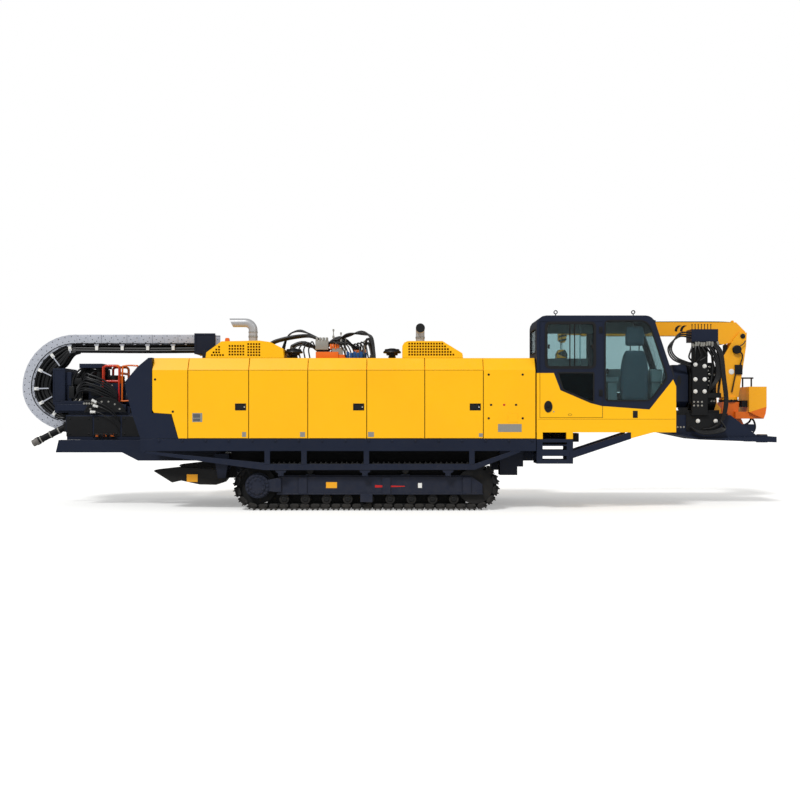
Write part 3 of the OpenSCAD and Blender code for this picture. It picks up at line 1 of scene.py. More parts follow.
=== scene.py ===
import math, random
import bpy, bmesh
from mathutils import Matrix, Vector


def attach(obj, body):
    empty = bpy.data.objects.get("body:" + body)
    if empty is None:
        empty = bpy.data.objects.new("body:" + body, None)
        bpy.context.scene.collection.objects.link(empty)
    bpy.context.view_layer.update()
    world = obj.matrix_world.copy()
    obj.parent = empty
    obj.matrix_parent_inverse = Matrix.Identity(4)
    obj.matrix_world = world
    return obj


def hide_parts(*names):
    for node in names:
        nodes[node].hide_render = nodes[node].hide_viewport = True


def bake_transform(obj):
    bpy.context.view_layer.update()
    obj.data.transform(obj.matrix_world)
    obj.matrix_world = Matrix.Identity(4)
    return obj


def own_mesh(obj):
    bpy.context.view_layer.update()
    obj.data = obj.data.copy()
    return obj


# Horizontal directional drill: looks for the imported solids, plus the fittings, hoses and trim on them.
# Metres; x runs forward along the drill string, y to the left, z up.

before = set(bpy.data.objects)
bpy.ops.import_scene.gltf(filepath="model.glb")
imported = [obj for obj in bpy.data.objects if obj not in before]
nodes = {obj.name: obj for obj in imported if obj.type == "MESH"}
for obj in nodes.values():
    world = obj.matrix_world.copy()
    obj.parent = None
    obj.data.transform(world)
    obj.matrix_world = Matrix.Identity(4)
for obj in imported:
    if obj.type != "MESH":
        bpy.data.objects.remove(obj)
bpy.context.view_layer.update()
dice = random.Random(7)
upward, outward = (0, 0, 1), (0, -1, 0)
print("frame loaded:", len(nodes), "solids")


def linear(hexText, alpha=1.0):  # sRGB hex to the linear colour that a shader wants
    raw = [int(hexText[i:i + 2], 16) / 255 for i in (1, 3, 5)]
    return tuple(c / 12.92 if c < 0.04045 else ((c + 0.055) / 1.055) ** 2.4 for c in raw) + (alpha,)


def addNode(tree, kind, settings=None, links=None):
    node = tree.nodes.new(kind)
    attributes = {k: v for k, v in (settings or {}).items() if isinstance(k, str) and hasattr(node, k)}
    for key, value in attributes.items():
        setattr(node, key, value)
    for key, value in (settings or {}).items():
        if key not in attributes:
            node.inputs[key].default_value = value
    for key, source in (links or {}).items():
        tree.links.new(source, node.inputs[key])
    return node


def newMaterial(name):
    material = bpy.data.materials.new(name)
    material.use_nodes = True
    material.node_tree.nodes.clear()
    return material


def objectSpace(tree):
    return addNode(tree, "ShaderNodeTexCoord").outputs["Object"]


def noise(tree, coords, scale, detail):
    settings = {"Scale": scale, "Detail": detail}
    return addNode(tree, "ShaderNodeTexNoise", settings, {"Vector": coords}).outputs["Fac"]


def mapRange(tree, value, settings):
    return addNode(tree, "ShaderNodeMapRange", settings, {"Value": value}).outputs[0]


def mixLook(tree, look, factor):  # the finish's own two tones
    tones = {"data_type": "RGBA", 6: linear(look["colour"]), 7: linear(look["shade"])}
    return addNode(tree, "ShaderNodeMix", tones, {0: factor}).outputs[2]


def bump(tree, strength, links, distance=0.001):
    return addNode(tree, "ShaderNodeBump", {"Strength": strength, "Distance": distance}, links).outputs[0]


def finishMaterial(tree, shader):
    addNode(tree, "ShaderNodeOutputMaterial", None, {"Surface": shader.outputs[0]})


def principled(tree, settings, tone, rough, normal):
    links = {"Base Color": tone, "Roughness": rough, "Normal": normal}
    shader = addNode(tree, "ShaderNodeBsdfPrincipled", settings, {k: v for k, v in links.items() if v is not None})
    finishMaterial(tree, shader)


def enamel(tree, look):  # sprayed two-pack enamel on steel: broad gloss, faint orange peel, dust low down
    coords = objectSpace(tree)
    cloud = noise(tree, coords, look.get("cloud", 0.8), 5.0)
    spread = mapRange(tree, cloud, {"From Min": 0.42, "From Max": 0.72, "To Max": look.get("drift", 0.5)})
    tone = mixLook(tree, look, spread)
    height = addNode(tree, "ShaderNodeSeparateXYZ", None, {"Vector": coords}).outputs["Z"]
    fade = {"From Min": look.get("dustTop", 1.1), "From Max": 0.0, "To Max": look.get("dust", 0.25)}
    low = mapRange(tree, height, fade)
    speck = noise(tree, coords, 9.0, 6.0)
    dusty = addNode(tree, "ShaderNodeMath", {"operation": "MULTIPLY"}, {0: low, 1: speck}).outputs[0]
    dust = {"data_type": "RGBA", 7: linear(look.get("dustColour", "#8a8071"))}
    body = addNode(tree, "ShaderNodeMix", dust, {0: dusty, 6: tone}).outputs[2]
    rough = mapRange(tree, speck, {"To Min": look["rough"][0], "To Max": look["rough"][1]})
    peel = noise(tree, coords, 240.0, 1.0)  # 4 mm crests
    edge = addNode(tree, "ShaderNodeBevel", {"samples": 4, "Radius": look.get("edge", 0.007)}).outputs[0]
    normal = bump(tree, look.get("peel", 0.06), {"Height": peel, "Normal": edge})
    gloss = {"IOR": 1.5, "Specular IOR Level": look.get("shine", 0.5), "Coat Weight": look.get("coat", 0.2),
             "Coat Roughness": 0.1}
    principled(tree, gloss, body, rough, normal)


def bareMetal(tree, look):  # galvanised, rolled or drawn metal: patches of crystal or lines along one axis
    coords = objectSpace(tree)
    if "stretch" in look:
        stretch = addNode(tree, "ShaderNodeMapping", {"Scale": look["stretch"]}, {"Vector": coords})
        value = noise(tree, stretch.outputs[0], look["scale"], 3.0)
    else:
        grain = addNode(tree, "ShaderNodeTexVoronoi", {"Scale": look["scale"]}, {"Vector": coords})
        value = addNode(tree, "ShaderNodeSeparateColor", None, {"Color": grain.outputs["Color"]}).outputs[0]
    rough = mapRange(tree, value, {"To Min": look["rough"][0], "To Max": look["rough"][1]})
    normal = bump(tree, look.get("bump", 0.1), {"Height": value})
    principled(tree, {"Metallic": look["metallic"]}, mixLook(tree, look, value), rough, normal)


def mouldedSurface(tree, look):  # rubber, vinyl and plastic: a fine leathery grain over an even colour
    coords = objectSpace(tree)
    grain = addNode(tree, "ShaderNodeTexVoronoi", {"Scale": look["grain"]}, {"Vector": coords})
    tone = mixLook(tree, look, noise(tree, coords, 6.0, 4.0))
    normal = bump(tree, look["bump"], {"Height": grain.outputs["Distance"]})
    principled(tree, {"Roughness": look["rough"], "IOR": 1.5}, tone, None, normal)


def windowPane(tree, look):  # toughened glass with a light green-grey body tint
    normal = bump(tree, 0.04, {"Height": noise(tree, objectSpace(tree), 2.2, 1.0)}, 0.01)
    glass = {"Base Color": linear(look["colour"]), "Roughness": look["rough"], "IOR": 1.45,
             "Transmission Weight": 1.0}
    principled(tree, glass, None, None, normal)


looks = {  # colour, shade and range of roughness, then what differs from the maker's usual values
    enamel: {
        "yellowEnamel": ("#FFBD00", "#FFB400", (0.26, 0.42), {"dust": 0.12, "coat": 0.08, "shine": 0.35}),
        "navyEnamel": ("#182136", "#131A2B", (0.34, 0.5), {"dust": 0.12, "coat": 0.05, "shine": 0.35}),
        "amberEnamel": ("#FBAE0C", "#F19A06", (0.26, 0.42), {"dust": 0.1}),
        # Real orange paint on several small parts, and painted shade on the crane's pedestal and stand, whose amber
        # paint looks orange in shadow
        "orangeEnamel": ("#E96F0C", "#D2580B", (0.26, 0.42), {"dust": 0.1}),
        "redEnamel": ("#C01A1C", "#D8481A", (0.28, 0.42), {"drift": 0.8, "cloud": 1.4, "dust": 0.0}),
        "blueEnamel": ("#0E4B8F", "#0B3D78", (0.28, 0.42), {"dust": 0.0}),
        "blackEnamel": ("#151618", "#0F1012", (0.36, 0.55), {"dust": 0.1, "shine": 0.4, "coat": 0.05}),
        "trackSteel": ("#19191B", "#232220", (0.5, 0.8), {"dust": 0.3, "dustTop": 0.5, "dustColour": "#6B6458",
                                                          "peel": 0.5, "coat": 0.0, "edge": 0.012}),
        "engineGrey": ("#5A5D61", "#484B4F", (0.5, 0.7), {"dust": 0.1}),
        "plainWhite": ("#E9E9E6", "#DEDEDA", (0.35, 0.5), {"dust": 0.0}),
    },
    bareMetal: {
        "mudSteel": ("#8E8A86", "#6B6763", (0.45, 0.65), {"stretch": (1, 1, 1), "scale": 30.0, "metallic": 0.4}),
        "galvanised": ("#C2C6D0", "#B4B8C3", (0.4, 0.55), {"scale": 70.0, "metallic": 0.2, "bump": 0.06}),
        "exhaustSkin": ("#C9CACD", "#B2B2B2", (0.3, 0.45), {"stretch": (3, 3, 30), "scale": 6.0, "metallic": 0.3}),
        "chromeRod": ("#D4D7DB", "#C4C8CC", (0.08, 0.16), {"stretch": (40, 4, 4), "scale": 8.0, "metallic": 1.0,
                                                           "bump": 0.02}),
        "zincBolt": ("#D9D8D2", "#B9B6AA", (0.25, 0.45), {"stretch": (1, 1, 1), "scale": 60.0, "metallic": 0.7}),
    },
    mouldedSurface: {
        "hoseRubber": ("#121315", "#1B1C1F", 0.46, {"grain": 420.0, "bump": 0.35}),
        "sealRubber": ("#0E0F10", "#161718", 0.6, {"grain": 600.0, "bump": 0.25}),
        "seatVinyl": ("#4C6473", "#556E7D", 0.55, {"grain": 520.0, "bump": 0.4}),
        "cabPlastic": ("#93A8AC", "#84999E", 0.5, {"grain": 700.0, "bump": 0.3}),
    },
    windowPane: {"smokedGlass": ("#34474B", None, 0.02, {}), "windowGlass": ("#B9CFD1", None, 0.02, {})},
}
finishes = {}
for make, table in looks.items():
    for name, (colour, shade, rough, look) in table.items():
        finishes[name] = newMaterial(name)
        make(finishes[name].node_tree, {"colour": colour, "shade": shade, "rough": rough, **look})

wearsFinish = {
    "yellowEnamel": ["near_cabinet", "far_cabinet", "engine_hoods", "door_1", "door_2", "door_3", "door_4", "door_5",
                     "cab_base", "cab_door_skin"],
    "navyEnamel": ["track_frames", "sprockets", "crawler_beam", "base_frame", "rear_shrouds", "roof_valves", "cab_shell",
                   "cab_door", "cab_steps", "mast_frame", "chain_guide", "valve_stack", "rear_vise", "carriage_frame",
                   "carriage_boxes", "gearbox"],
    "amberEnamel": ["crane_column", "crane_boom", "boom_extension", "hook_block"],
    "orangeEnamel": ["crane_pedestal", "crane_stand"],
    "redEnamel": ["guard_rail"],
    "blackEnamel": ["idlers", "track_rollers", "air_intakes", "front_vise", "drive_motors", "side_guards", "mud_pipe",
                    "boom_cylinder", "stabilizer_near", "stabilizer_far", "tilt_cylinders"],
    "trackSteel": ["track_near", "track_far"],
    "engineGrey": ["engines"],
    "exhaustSkin": ["exhaust_pipes"],
    "galvanised": ["chain_top_run", "chain_lower_run", "chain_bend", "spindle"],
    "chromeRod": ["boom_rod", "tilt_rods"],
    "hoseRubber": ["roof_hoses", "vise_hoses"],
    "seatVinyl": ["cab_seat"],
    "cabPlastic": ["cab_consoles"],
    "windowGlass": ["cab_glass", "door_glass"],
}
for finish, names in wearsFinish.items():
    for name in names:
        if name in nodes:
            nodes[name].data.materials.clear()
            nodes[name].data.materials.append(finishes[finish])
print("materials set:", len(finishes))


def takeMesh(mesh):
    verts = [v.co.copy() for v in mesh.verts]
    mesh.verts.index_update()
    faces = [[v.index for v in f.verts] for f in mesh.faces]
    mesh.free()
    return verts, faces


def roundedBox(lo, hi, bevel=0.006, steps=2):
    mesh = bmesh.new()
    bmesh.ops.create_cube(mesh, size=1.0)
    size = [hi[i] - lo[i] for i in range(3)]
    for v in mesh.verts:
        v.co = Vector([(lo[i] + hi[i]) / 2 + v.co[i] * size[i] for i in range(3)])
    bmesh.ops.bevel(mesh, geom=mesh.edges[:], offset=min(bevel, 0.4 * min(size)), segments=steps, profile=0.6,
                    affect="EDGES")
    return takeMesh(mesh)


planes = {"xz": lambda p, d: (p[0], d, p[1]), "yz": lambda p, d: (d, p[0], p[1])}


def outlinePlate(points, lo, hi, bevel=0.003, plane="xz"):  # a flat plate cut to an outline, with eased edges
    place = planes[plane]
    mesh = bmesh.new()
    face = mesh.faces.new([mesh.verts.new(place(p, lo)) for p in points])
    grown = bmesh.ops.extrude_face_region(mesh, geom=[face])
    shift = Vector(place((0, 0), hi)) - Vector(place((0, 0), lo))
    for item in grown["geom"]:
        if isinstance(item, bmesh.types.BMVert):
            item.co += shift
    if bevel:
        rim = [e for e in mesh.edges if abs((e.verts[0].co - e.verts[1].co).dot(shift)) < 1e-9]
        bmesh.ops.bevel(mesh, geom=rim, offset=bevel, segments=1, affect="EDGES")
    bmesh.ops.recalc_face_normals(mesh, faces=mesh.faces[:])
    return takeMesh(mesh)


def smoothPath(points, steps=5):  # Catmull-Rom through the given points
    pts = [Vector(p) for p in points]
    if len(pts) < 3:
        return pts
    ends = [2 * pts[0] - pts[1]] + pts + [2 * pts[-1] - pts[-2]]
    out = []
    for i in range(1, len(ends) - 2):
        a, b, c, d = ends[i - 1:i + 3]
        for t in [k / steps for k in range(steps)]:
            square, cube = 2 * a - 5 * b + 4 * c - d, 3 * b - a - 3 * c + d
            out.append(0.5 * ((2 * b) + (c - a) * t + square * t * t + cube * t ** 3))
    return out + [pts[-1]]


def tube(points, radius, sides=8, steps=5):
    path = smoothPath(points, steps)
    verts, faces = [], []
    side = (path[1] - path[0]).normalized().orthogonal().normalized()
    for i, p in enumerate(path):
        ahead = (path[min(i + 1, len(path) - 1)] - path[max(i - 1, 0)]).normalized()
        side = (side - ahead * side.dot(ahead)).normalized()
        other = ahead.cross(side)
        for a in [2 * math.pi * k / sides for k in range(sides)]:
            verts.append(p + radius * (math.cos(a) * side + math.sin(a) * other))
    last = (len(path) - 1) * sides
    for i in range(0, last, sides):
        for k in range(sides):
            n = (k + 1) % sides
            faces.append([i + k, i + n, i + sides + n, i + sides + k])
    return verts, faces + [list(range(sides))[::-1], list(range(last, last + sides))]


def hoseFan(count, radius, stops, steps=5):  # hoses side by side; a stop is x, y, z and its shift from hose to hose
    def place(stop, k):
        return [c + d * k for c, d in zip(stop, tuple(stop[3:]) + (0, 0, 0))]
    return [tube([place(stop, k)[:3] for stop in stops], radius, steps=steps) for k in range(count)]


def turned(profile, origin, axis=upward, sides=24):  # profile: (distance along the axis, radius) from end to end
    axis = Vector(axis).normalized()
    u = axis.orthogonal().normalized()
    v = axis.cross(u)
    origin = Vector(origin)
    verts, faces, rings = [], [], []
    for s, r in profile:
        count = sides if r > 1e-6 else 1
        rings.append(list(range(len(verts), len(verts) + count)))
        for a in [2 * math.pi * k / sides for k in range(count)]:
            verts.append(origin + axis * s + r * (math.cos(a) * u + math.sin(a) * v))
    for a, b in zip(rings, rings[1:]):
        for k in range(sides):
            n = (k + 1) % sides
            quad = [a[k % len(a)], a[n % len(a)], b[n % len(b)], b[k % len(b)]]
            quad = [q for i, q in enumerate(quad) if q not in quad[:i]]
            if len(quad) > 2:
                faces.append(quad)
    if len(rings[0]) > 1:
        faces.append(rings[0][::-1])
    if len(rings[-1]) > 1:
        faces.append(rings[-1])
    return verts, faces


def hoseFitting(p, axis, radius):  # crimped collar, hexagon and shoulder at a hose's end
    grip = [(0, radius * 0.8), (0.0, radius * 1.25), (radius * 2.6, radius * 1.25), (radius * 2.8, radius * 0.9)]
    nut = [(-radius * 1.3, radius * 1.45), (-0.001, radius * 1.45)]
    return [turned(grip, p, axis, 14), turned(nut, p, axis, 6)]


def band(origin, axis, radius, width=0.03, thick=0.006):
    return turned([(0, radius), (0, radius + thick), (width, radius + thick), (width, radius)], origin, axis)


def makePiece(name, body, slot=None, sharp=38, **groups):  # each finish with the parts that wear it
    mesh = bpy.data.meshes.new(name)
    verts, faces, marks = [], [], []
    for index, (finish, parts) in enumerate(groups.items()):
        mesh.materials.append(finishes[finish])
        for partVerts, partFaces in parts:
            base = len(verts)
            verts += [tuple(v) for v in partVerts]
            faces += [[base + i for i in f] for f in partFaces]
            marks += [index] * len(partFaces)
    mesh.from_pydata(verts, [], faces)
    mesh.polygons.foreach_set("material_index", marks)
    work = bmesh.new()
    work.from_mesh(mesh)
    bmesh.ops.recalc_face_normals(work, faces=work.faces[:])
    work.to_mesh(mesh)
    work.free()
    mesh.shade_smooth()
    mesh.set_sharp_from_angle(angle=math.radians(sharp))
    return settle(addObject(name, mesh), body)


def addObject(name, data):
    piece = bpy.data.objects.new(name, data)
    bpy.context.scene.collection.objects.link(piece)
    return piece


def settle(piece, body):
    if body:
        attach(piece, body)
    return piece


def roundedLoop(points, radius, steps=4):  # an outline with its corners rounded off
    out = []
    for i, p in enumerate(points):
        p, a, b = Vector(p), Vector(points[i - 1]), Vector(points[(i + 1) % len(points)])
        back, ahead = (a - p), (b - p)
        reach = min(radius, 0.45 * back.length, 0.45 * ahead.length)
        start, end = p + back.normalized() * reach, p + ahead.normalized() * reach
        for t in [k / steps for k in range(steps + 1)]:
            out.append(tuple((1 - t) ** 2 * start + 2 * t * (1 - t) * p + t * t * end))
    return out


def insetLoop(points, depth):
    area = sum(points[i - 1][0] * p[1] - p[0] * points[i - 1][1] for i, p in enumerate(points))
    turn = 1 if area > 0 else -1
    out = []
    for i, p in enumerate(points):
        u = (Vector(p) - Vector(points[i - 1])).normalized()
        v = (Vector(points[(i + 1) % len(points)]) - Vector(p)).normalized()
        n, m = Vector((-u[1], u[0])) * turn, Vector((-v[1], v[0])) * turn
        out.append(tuple(Vector(p) + depth * (n + m) / (1 + n.dot(m))))
    return out


def frameRing(points, width, lo, hi, plane="xz"):  # a flat frame between an outline and the same outline moved in
    inner = insetLoop(points, width)
    n = len(points)
    verts = [planes[plane](p, d) for d in (lo, hi) for loop in (points, inner) for p in loop]
    corners = [(0, n), (n, 3 * n), (3 * n, 2 * n), (2 * n, 0)]
    return verts, [[a + k, a + (k + 1) % n, b + (k + 1) % n, b + k] for k in range(n) for a, b in corners]


def oval(x, z, rx, rz, count=20):
    turns = [2 * math.pi * k / count for k in range(count)]
    return [(x + rx * math.cos(a), z + rz * math.sin(a)) for a in turns]


def rectangle(x0, z0, x1, z1):
    return [(x0, z0), (x1, z0), (x1, z1), (x0, z1)]


def repaint(node, body, finishOf):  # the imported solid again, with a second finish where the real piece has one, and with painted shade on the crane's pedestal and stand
    source = nodes[node]
    mesh = source.data.copy()
    mesh.transform(source.matrix_world)
    names = sorted({finishOf(p.center) for p in mesh.polygons})
    mesh.materials.clear()
    for name in names:
        mesh.materials.append(finishes[name])
    mesh.polygons.foreach_set("material_index", [names.index(finishOf(p.center)) for p in mesh.polygons])
    piece = settle(addObject(node + "Painted", mesh), body)
    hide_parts(node)


def fittingsTree():  # one fitting at every point, turned by the point's "turn" angles
    tree = bpy.data.node_groups.new("fittingsOnPoints", "GeometryNodeTree")
    sockets = {"Geometry": "Geometry", "Fitting": "Object", "Size": "Float", "Size Spread": "Float", "Seed": "Int"}
    for label, kind in sockets.items():
        tree.interface.new_socket(label, in_out="INPUT", socket_type="NodeSocket" + kind)
    tree.interface.new_socket("Geometry", in_out="OUTPUT", socket_type="NodeSocketGeometry")
    group, out = tree.nodes.new("NodeGroupInput"), tree.nodes.new("NodeGroupOutput")
    fitting = addNode(tree, "GeometryNodeObjectInfo", {"As Instance": True}, {"Object": group.outputs["Fitting"]})
    points = addNode(tree, "GeometryNodeMeshToPoints", None, {"Mesh": group.outputs[0]})
    turn = addNode(tree, "GeometryNodeInputNamedAttribute", {"data_type": "FLOAT_VECTOR", "Name": "turn"})
    rotation = addNode(tree, "FunctionNodeEulerToRotation", None, {0: turn.outputs[0]})
    size = group.outputs["Size"], group.outputs["Size Spread"]
    least, most = [addNode(tree, "ShaderNodeMath", {"operation": kind}, {0: size[0], 1: size[1]}).outputs[0]
                   for kind in ("SUBTRACT", "ADD")]
    scale = addNode(tree, "FunctionNodeRandomValue", {"data_type": "FLOAT"},
                    {2: least, 3: most, "Seed": group.outputs["Seed"]})
    spread = addNode(tree, "GeometryNodeInstanceOnPoints", None,
                     {"Points": points.outputs[0], "Instance": fitting.outputs["Geometry"],
                      "Rotation": rotation.outputs[0], "Scale": scale.outputs[1]})
    real = addNode(tree, "GeometryNodeRealizeInstances", None, {"Geometry": spread.outputs[0]})
    tree.links.new(real.outputs[0], out.inputs[0])
    return tree


fittings = fittingsTree()
fittingSockets = {item.name: item.identifier for item in fittings.interface.items_tree if item.in_out == "INPUT"}
patterns = []


def pattern(name, **groups):  # the one fitting that a tree repeats; it is taken away at the end
    patterns.append(makePiece(name + "Pattern", None, **groups))
    return patterns[-1]


def facing(direction):
    return tuple(Vector(direction).to_track_quat("Z", "Y").to_euler())


def setOut(name, spots, fitting, body):  # spots: (place, turn) pairs; keeps the result as a plain piece
    mesh = bpy.data.meshes.new(name)
    mesh.from_pydata([tuple(p) for p, t in spots], [], [])
    turn = mesh.attributes.new("turn", "FLOAT_VECTOR", "POINT")
    turn.data.foreach_set("vector", [c for p, t in spots for c in t])
    piece = addObject(name, mesh)
    modifier = piece.modifiers.new("setOut", "NODES")
    modifier.node_group = fittings
    for label, value in (("Fitting", fitting), ("Size", 1.0), ("Size Spread", 0.0), ("Seed", 7)):
        modifier[fittingSockets[label]] = value
    bpy.context.view_layer.update()
    result = bpy.data.meshes.new_from_object(piece.evaluated_get(bpy.context.evaluated_depsgraph_get()))
    piece.modifiers.remove(modifier)
    piece.data = result
    result.name = name
    return settle(piece, body)


def bolt(name, finish, flats, height):
    washer = [(0, flats * 0.95), (height * 0.25, flats * 0.95)]
    head = [(height * 0.25, flats * 0.577), (height * 0.85, flats * 0.577), (height, flats * 0.46)]
    return pattern(name, **{finish: [turned(washer, (0, 0, 0), sides=12), turned(head, (0, 0, 0), sides=6)]})


smallZinc = bolt("smallZincBolt", "zincBolt", 0.02, 0.012)
largeZinc = bolt("largeZincBolt", "plainWhite", 0.042, 0.026)
blackBolt = bolt("blackBolt", "blackEnamel", 0.022, 0.01)
navyBolt = bolt("navyBolt", "navyEnamel", 0.03, 0.016)
near, far, up, back = facing(outward), facing((0, 1, 0)), facing(upward), facing((-1, 0, 0))


def ringSpots(centre, radius, count, plane, turn, start=0.0):
    out = []
    for k in range(count):
        a = start + 2 * math.pi * k / count
        u, v = radius * math.cos(a), radius * math.sin(a)
        shift = {"xz": (u, 0, v), "yz": (0, u, v), "xy": (u, v, 0)}[plane]
        out.append((tuple(Vector(centre) + Vector(shift)), turn))
    return out


# Hose chain: side plates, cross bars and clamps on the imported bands, and the hoses inside
chain = {"centre": (-6.34, 2.26), "radius": 1.03, "lowRadius": 0.85, "halfWidth": 0.212, "endX": -3.72, "travel": 2.3,
         "pitch": 0.247, "plateDepth": 0.085, "hoseDepth": 0.17, "hoseRadius": 0.025}
hoseLayers = [(y, d) for d in (0.03, 0.085, 0.14) for y in (-0.15, -0.09, -0.03, 0.03, 0.09, 0.15)]
hoseLayers = [(y + dice.uniform(-0.008, 0.008), d + dice.uniform(-0.006, 0.01)) for y, d in hoseLayers]


def plateDots(places, reach):
    return [turned([(-reach, 0.0085), (reach, 0.0085)], (x, 0, z), (0, 1, 0), 8) for x, z in places]


linkPlate = roundedBox((-0.128, -0.005, -0.083), (0.128, 0.005, 0.083), 0.008)
linkNotch = roundedBox((-0.02, -0.0075, -0.09), (0.02, 0.0075, -0.068), 0.004, 1)  # dark stop on the inner edge
linkDots = plateDots([(-0.08, 0.055), (-0.045, -0.015), (0.04, -0.05), (0.075, 0.02)], 0.0085)
shortPlate = roundedBox((-0.067, -0.004, -0.083), (0.067, 0.004, 0.083), 0.003, 1)
shortDots = plateDots([(-0.03, 0.045), (0.03, -0.04)], 0.0075)
bendLink = pattern("bendLink", galvanised=[shortPlate], sealRubber=shortDots)
chainLink = pattern("chainLink", galvanised=[linkPlate], sealRubber=[linkNotch] + linkDots)


def chainPoint(angle, depth):  # on the bend, depth inside the outer face
    a = math.radians(angle)
    low = (chain["lowRadius"] if angle > 180 else chain["radius"]) - depth
    x, z = chain["centre"]
    return Vector((x + (chain["radius"] - depth) * math.cos(a), 0, z + low * math.sin(a)))


def chainSpots(line, pitch=chain["pitch"], step=0.0055):  # even steps along a line, every other plate further out
    spots, travelled, wanted, index = [], 0.0, pitch / 2, 0
    for a, b in zip(line, line[1:]):
        length = (b - a).length
        while wanted <= travelled + length + 1e-9:
            p = a + (b - a) * ((wanted - travelled) / length)
            turn = (0, -math.atan2(b.z - a.z, b.x - a.x), 0)
            y = chain["halfWidth"] + (step if index % 2 else -step)
            spots += [((p.x, y, p.z), turn), ((p.x, -y, p.z), turn)]
            wanted += pitch
            index += 1
        travelled += length
    return spots


def bundleDepth(angle, depth):  # the hoses spread inwards through the bend and gather again at both ends
    opening = max(0.0, min(1.0, (angle - 93) / 30)) * max(0.0, min(1.0, (262 - angle) / 45))
    return chain["hoseDepth"] + depth * (1 + 1.05 * opening * opening * (3 - 2 * opening))


def hungPlate(spot, half, span, faces, bevel=0.003):  # a plate square to the chain; a spot is place, down, along
    p, down, along = spot
    corners = [p + along * s * half + down * d for s, d in rectangle(-1, span[0], 1, span[1])]
    return outlinePlate([(c.x, c.z) for c in corners], *faces, bevel)


def hangers(places):  # cross bars between the side plates; a reach adds a clamp at each side
    bars, clamps, white = [], [], []
    for p, down, reach in places:
        spot = p, down, Vector((-down.z, 0, down.x))
        bars.append(hungPlate(spot, 0.02, (0, 0.035), (-0.205, 0.205)))
        for y in (-0.185, 0.185) if reach else ():
            side = y + (0.012 if y > 0 else -0.018)
            cheek = (side, side + 0.006)
            white.append(hungPlate(spot, 0.03, (0.0, min(reach, 0.14)), (y - 0.011, y + 0.011), 0.004))
            if reach > 0.15:
                clamps.append(hungPlate(spot, 0.012, (0.1, reach), cheek, 0.002))
            clamps.append(hungPlate(spot, 0.045, (-0.03, 0.05), cheek, 0.002))
    return bars + clamps, white


topZ = chain["centre"][1] + chain["radius"]
startX, endX = chain["centre"][0], chain["endX"]
topLine = [Vector((x, 0, topZ - chain["plateDepth"])) for x in (startX, endX)]
chainTop = setOut("chainTopPlates", chainSpots(topLine), chainLink, None)
topHoses = []
for y, d in hoseLayers:
    middle = ((startX + endX) / 2, y + dice.uniform(-0.01, 0.01), topZ - 0.178 - d)
    ends = [(x, y, topZ - chain["hoseDepth"] - d) for x in (startX - 0.02, endX)]
    topHoses.append(tube([ends[0], middle, ends[1]], chain["hoseRadius"], steps=6))
topSteel, topWhite = hangers([(Vector((startX + 0.153 + chain["pitch"] * k, 0, topZ - 0.165)), Vector((0, 0, -1)),
                               0.14 if k in (1, 3, 5, 7) else 0) for k in range(10)])
bandSides = (-chain["halfWidth"], chain["halfWidth"])
stripHalf = 0.009
topLines = [roundedBox((startX, y - stripHalf, topZ - 0.178), (endX, y + stripHalf, topZ - 0.166), 0.002, 1)
            for y in bandSides]
chainTopHang = makePiece("chainTopHoses", None, hoseRubber=topHoses, galvanised=topSteel, plainWhite=topWhite,
                         sealRubber=topLines)
for piece in (chainTop, chainTopHang):
    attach(piece, "mast")
    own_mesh(piece)
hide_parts("chain_top_run")

bendAngles = [91 + k * 156 / 40 for k in range(41)]
bendLine = [chainPoint(a, chain["plateDepth"]) for a in bendAngles[::-1]]
bendSpots = chainSpots(bendLine, chain["pitch"] / 2, 0.001)
chainBend = setOut("chainBendPlates", bendSpots, bendLink, "hose_chain")
bendHoses = []
for y, d in hoseLayers + [(y, d + 0.0275) for y, d in hoseLayers[::2]]:
    path = [chainPoint(a, bundleDepth(a, d)) + Vector((0, y, 0)) for a in bendAngles[::2]]
    bendHoses.append(tube(path, chain["hoseRadius"], steps=2))
bendPlaces = []
for k in range(12):
    a = 99 + k * 13.8
    outer = chainPoint(a, 0.165)
    down = (chainPoint(a, 0.3) - outer).normalized()
    bendPlaces.append((outer, down, 0 if k % 2 else bundleDepth(a, 0.165) - chain["hoseDepth"]))
bendSteel, bendWhite = hangers(bendPlaces)
strip = [chainPoint(a, 0.166) for a in bendAngles] + [chainPoint(a, 0.178) for a in bendAngles[::-1]]
bendLines = [outlinePlate([tuple(p.xz) for p in strip], y - stripHalf, y + stripHalf, 0) for y in bandSides]
makePiece("chainBendHoses", "hose_chain", "galvanised", hoseRubber=bendHoses, galvanised=bendSteel,
          plainWhite=bendWhite, sealRubber=bendLines)
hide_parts("chain_bend")

lastAngle = bendAngles[-1]
lowLine = smoothPath([chainPoint(lastAngle, chain["plateDepth"]), (-6.66, 0, 1.55), (-6.5, 0, 1.545)], 8)
chainLow = setOut("chainLowPlates", chainSpots(lowLine[::-1]), chainLink, None)
lowHoses = []
for y, d in hoseLayers:
    p = chainPoint(lastAngle, bundleDepth(lastAngle, d))
    path = [(p.x, y, p.z), (-6.64, y, 1.66 + d * 0.6), (-6.5, y, 1.65 + d * 0.6)]
    lowHoses.append(tube(path, chain["hoseRadius"], steps=4))
chainLowHang = makePiece("chainLowHoses", None, hoseRubber=lowHoses)
for piece in (chainLow, chainLowHang):
    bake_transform(piece)
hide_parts("chain_lower_run")
print("hose chain done")


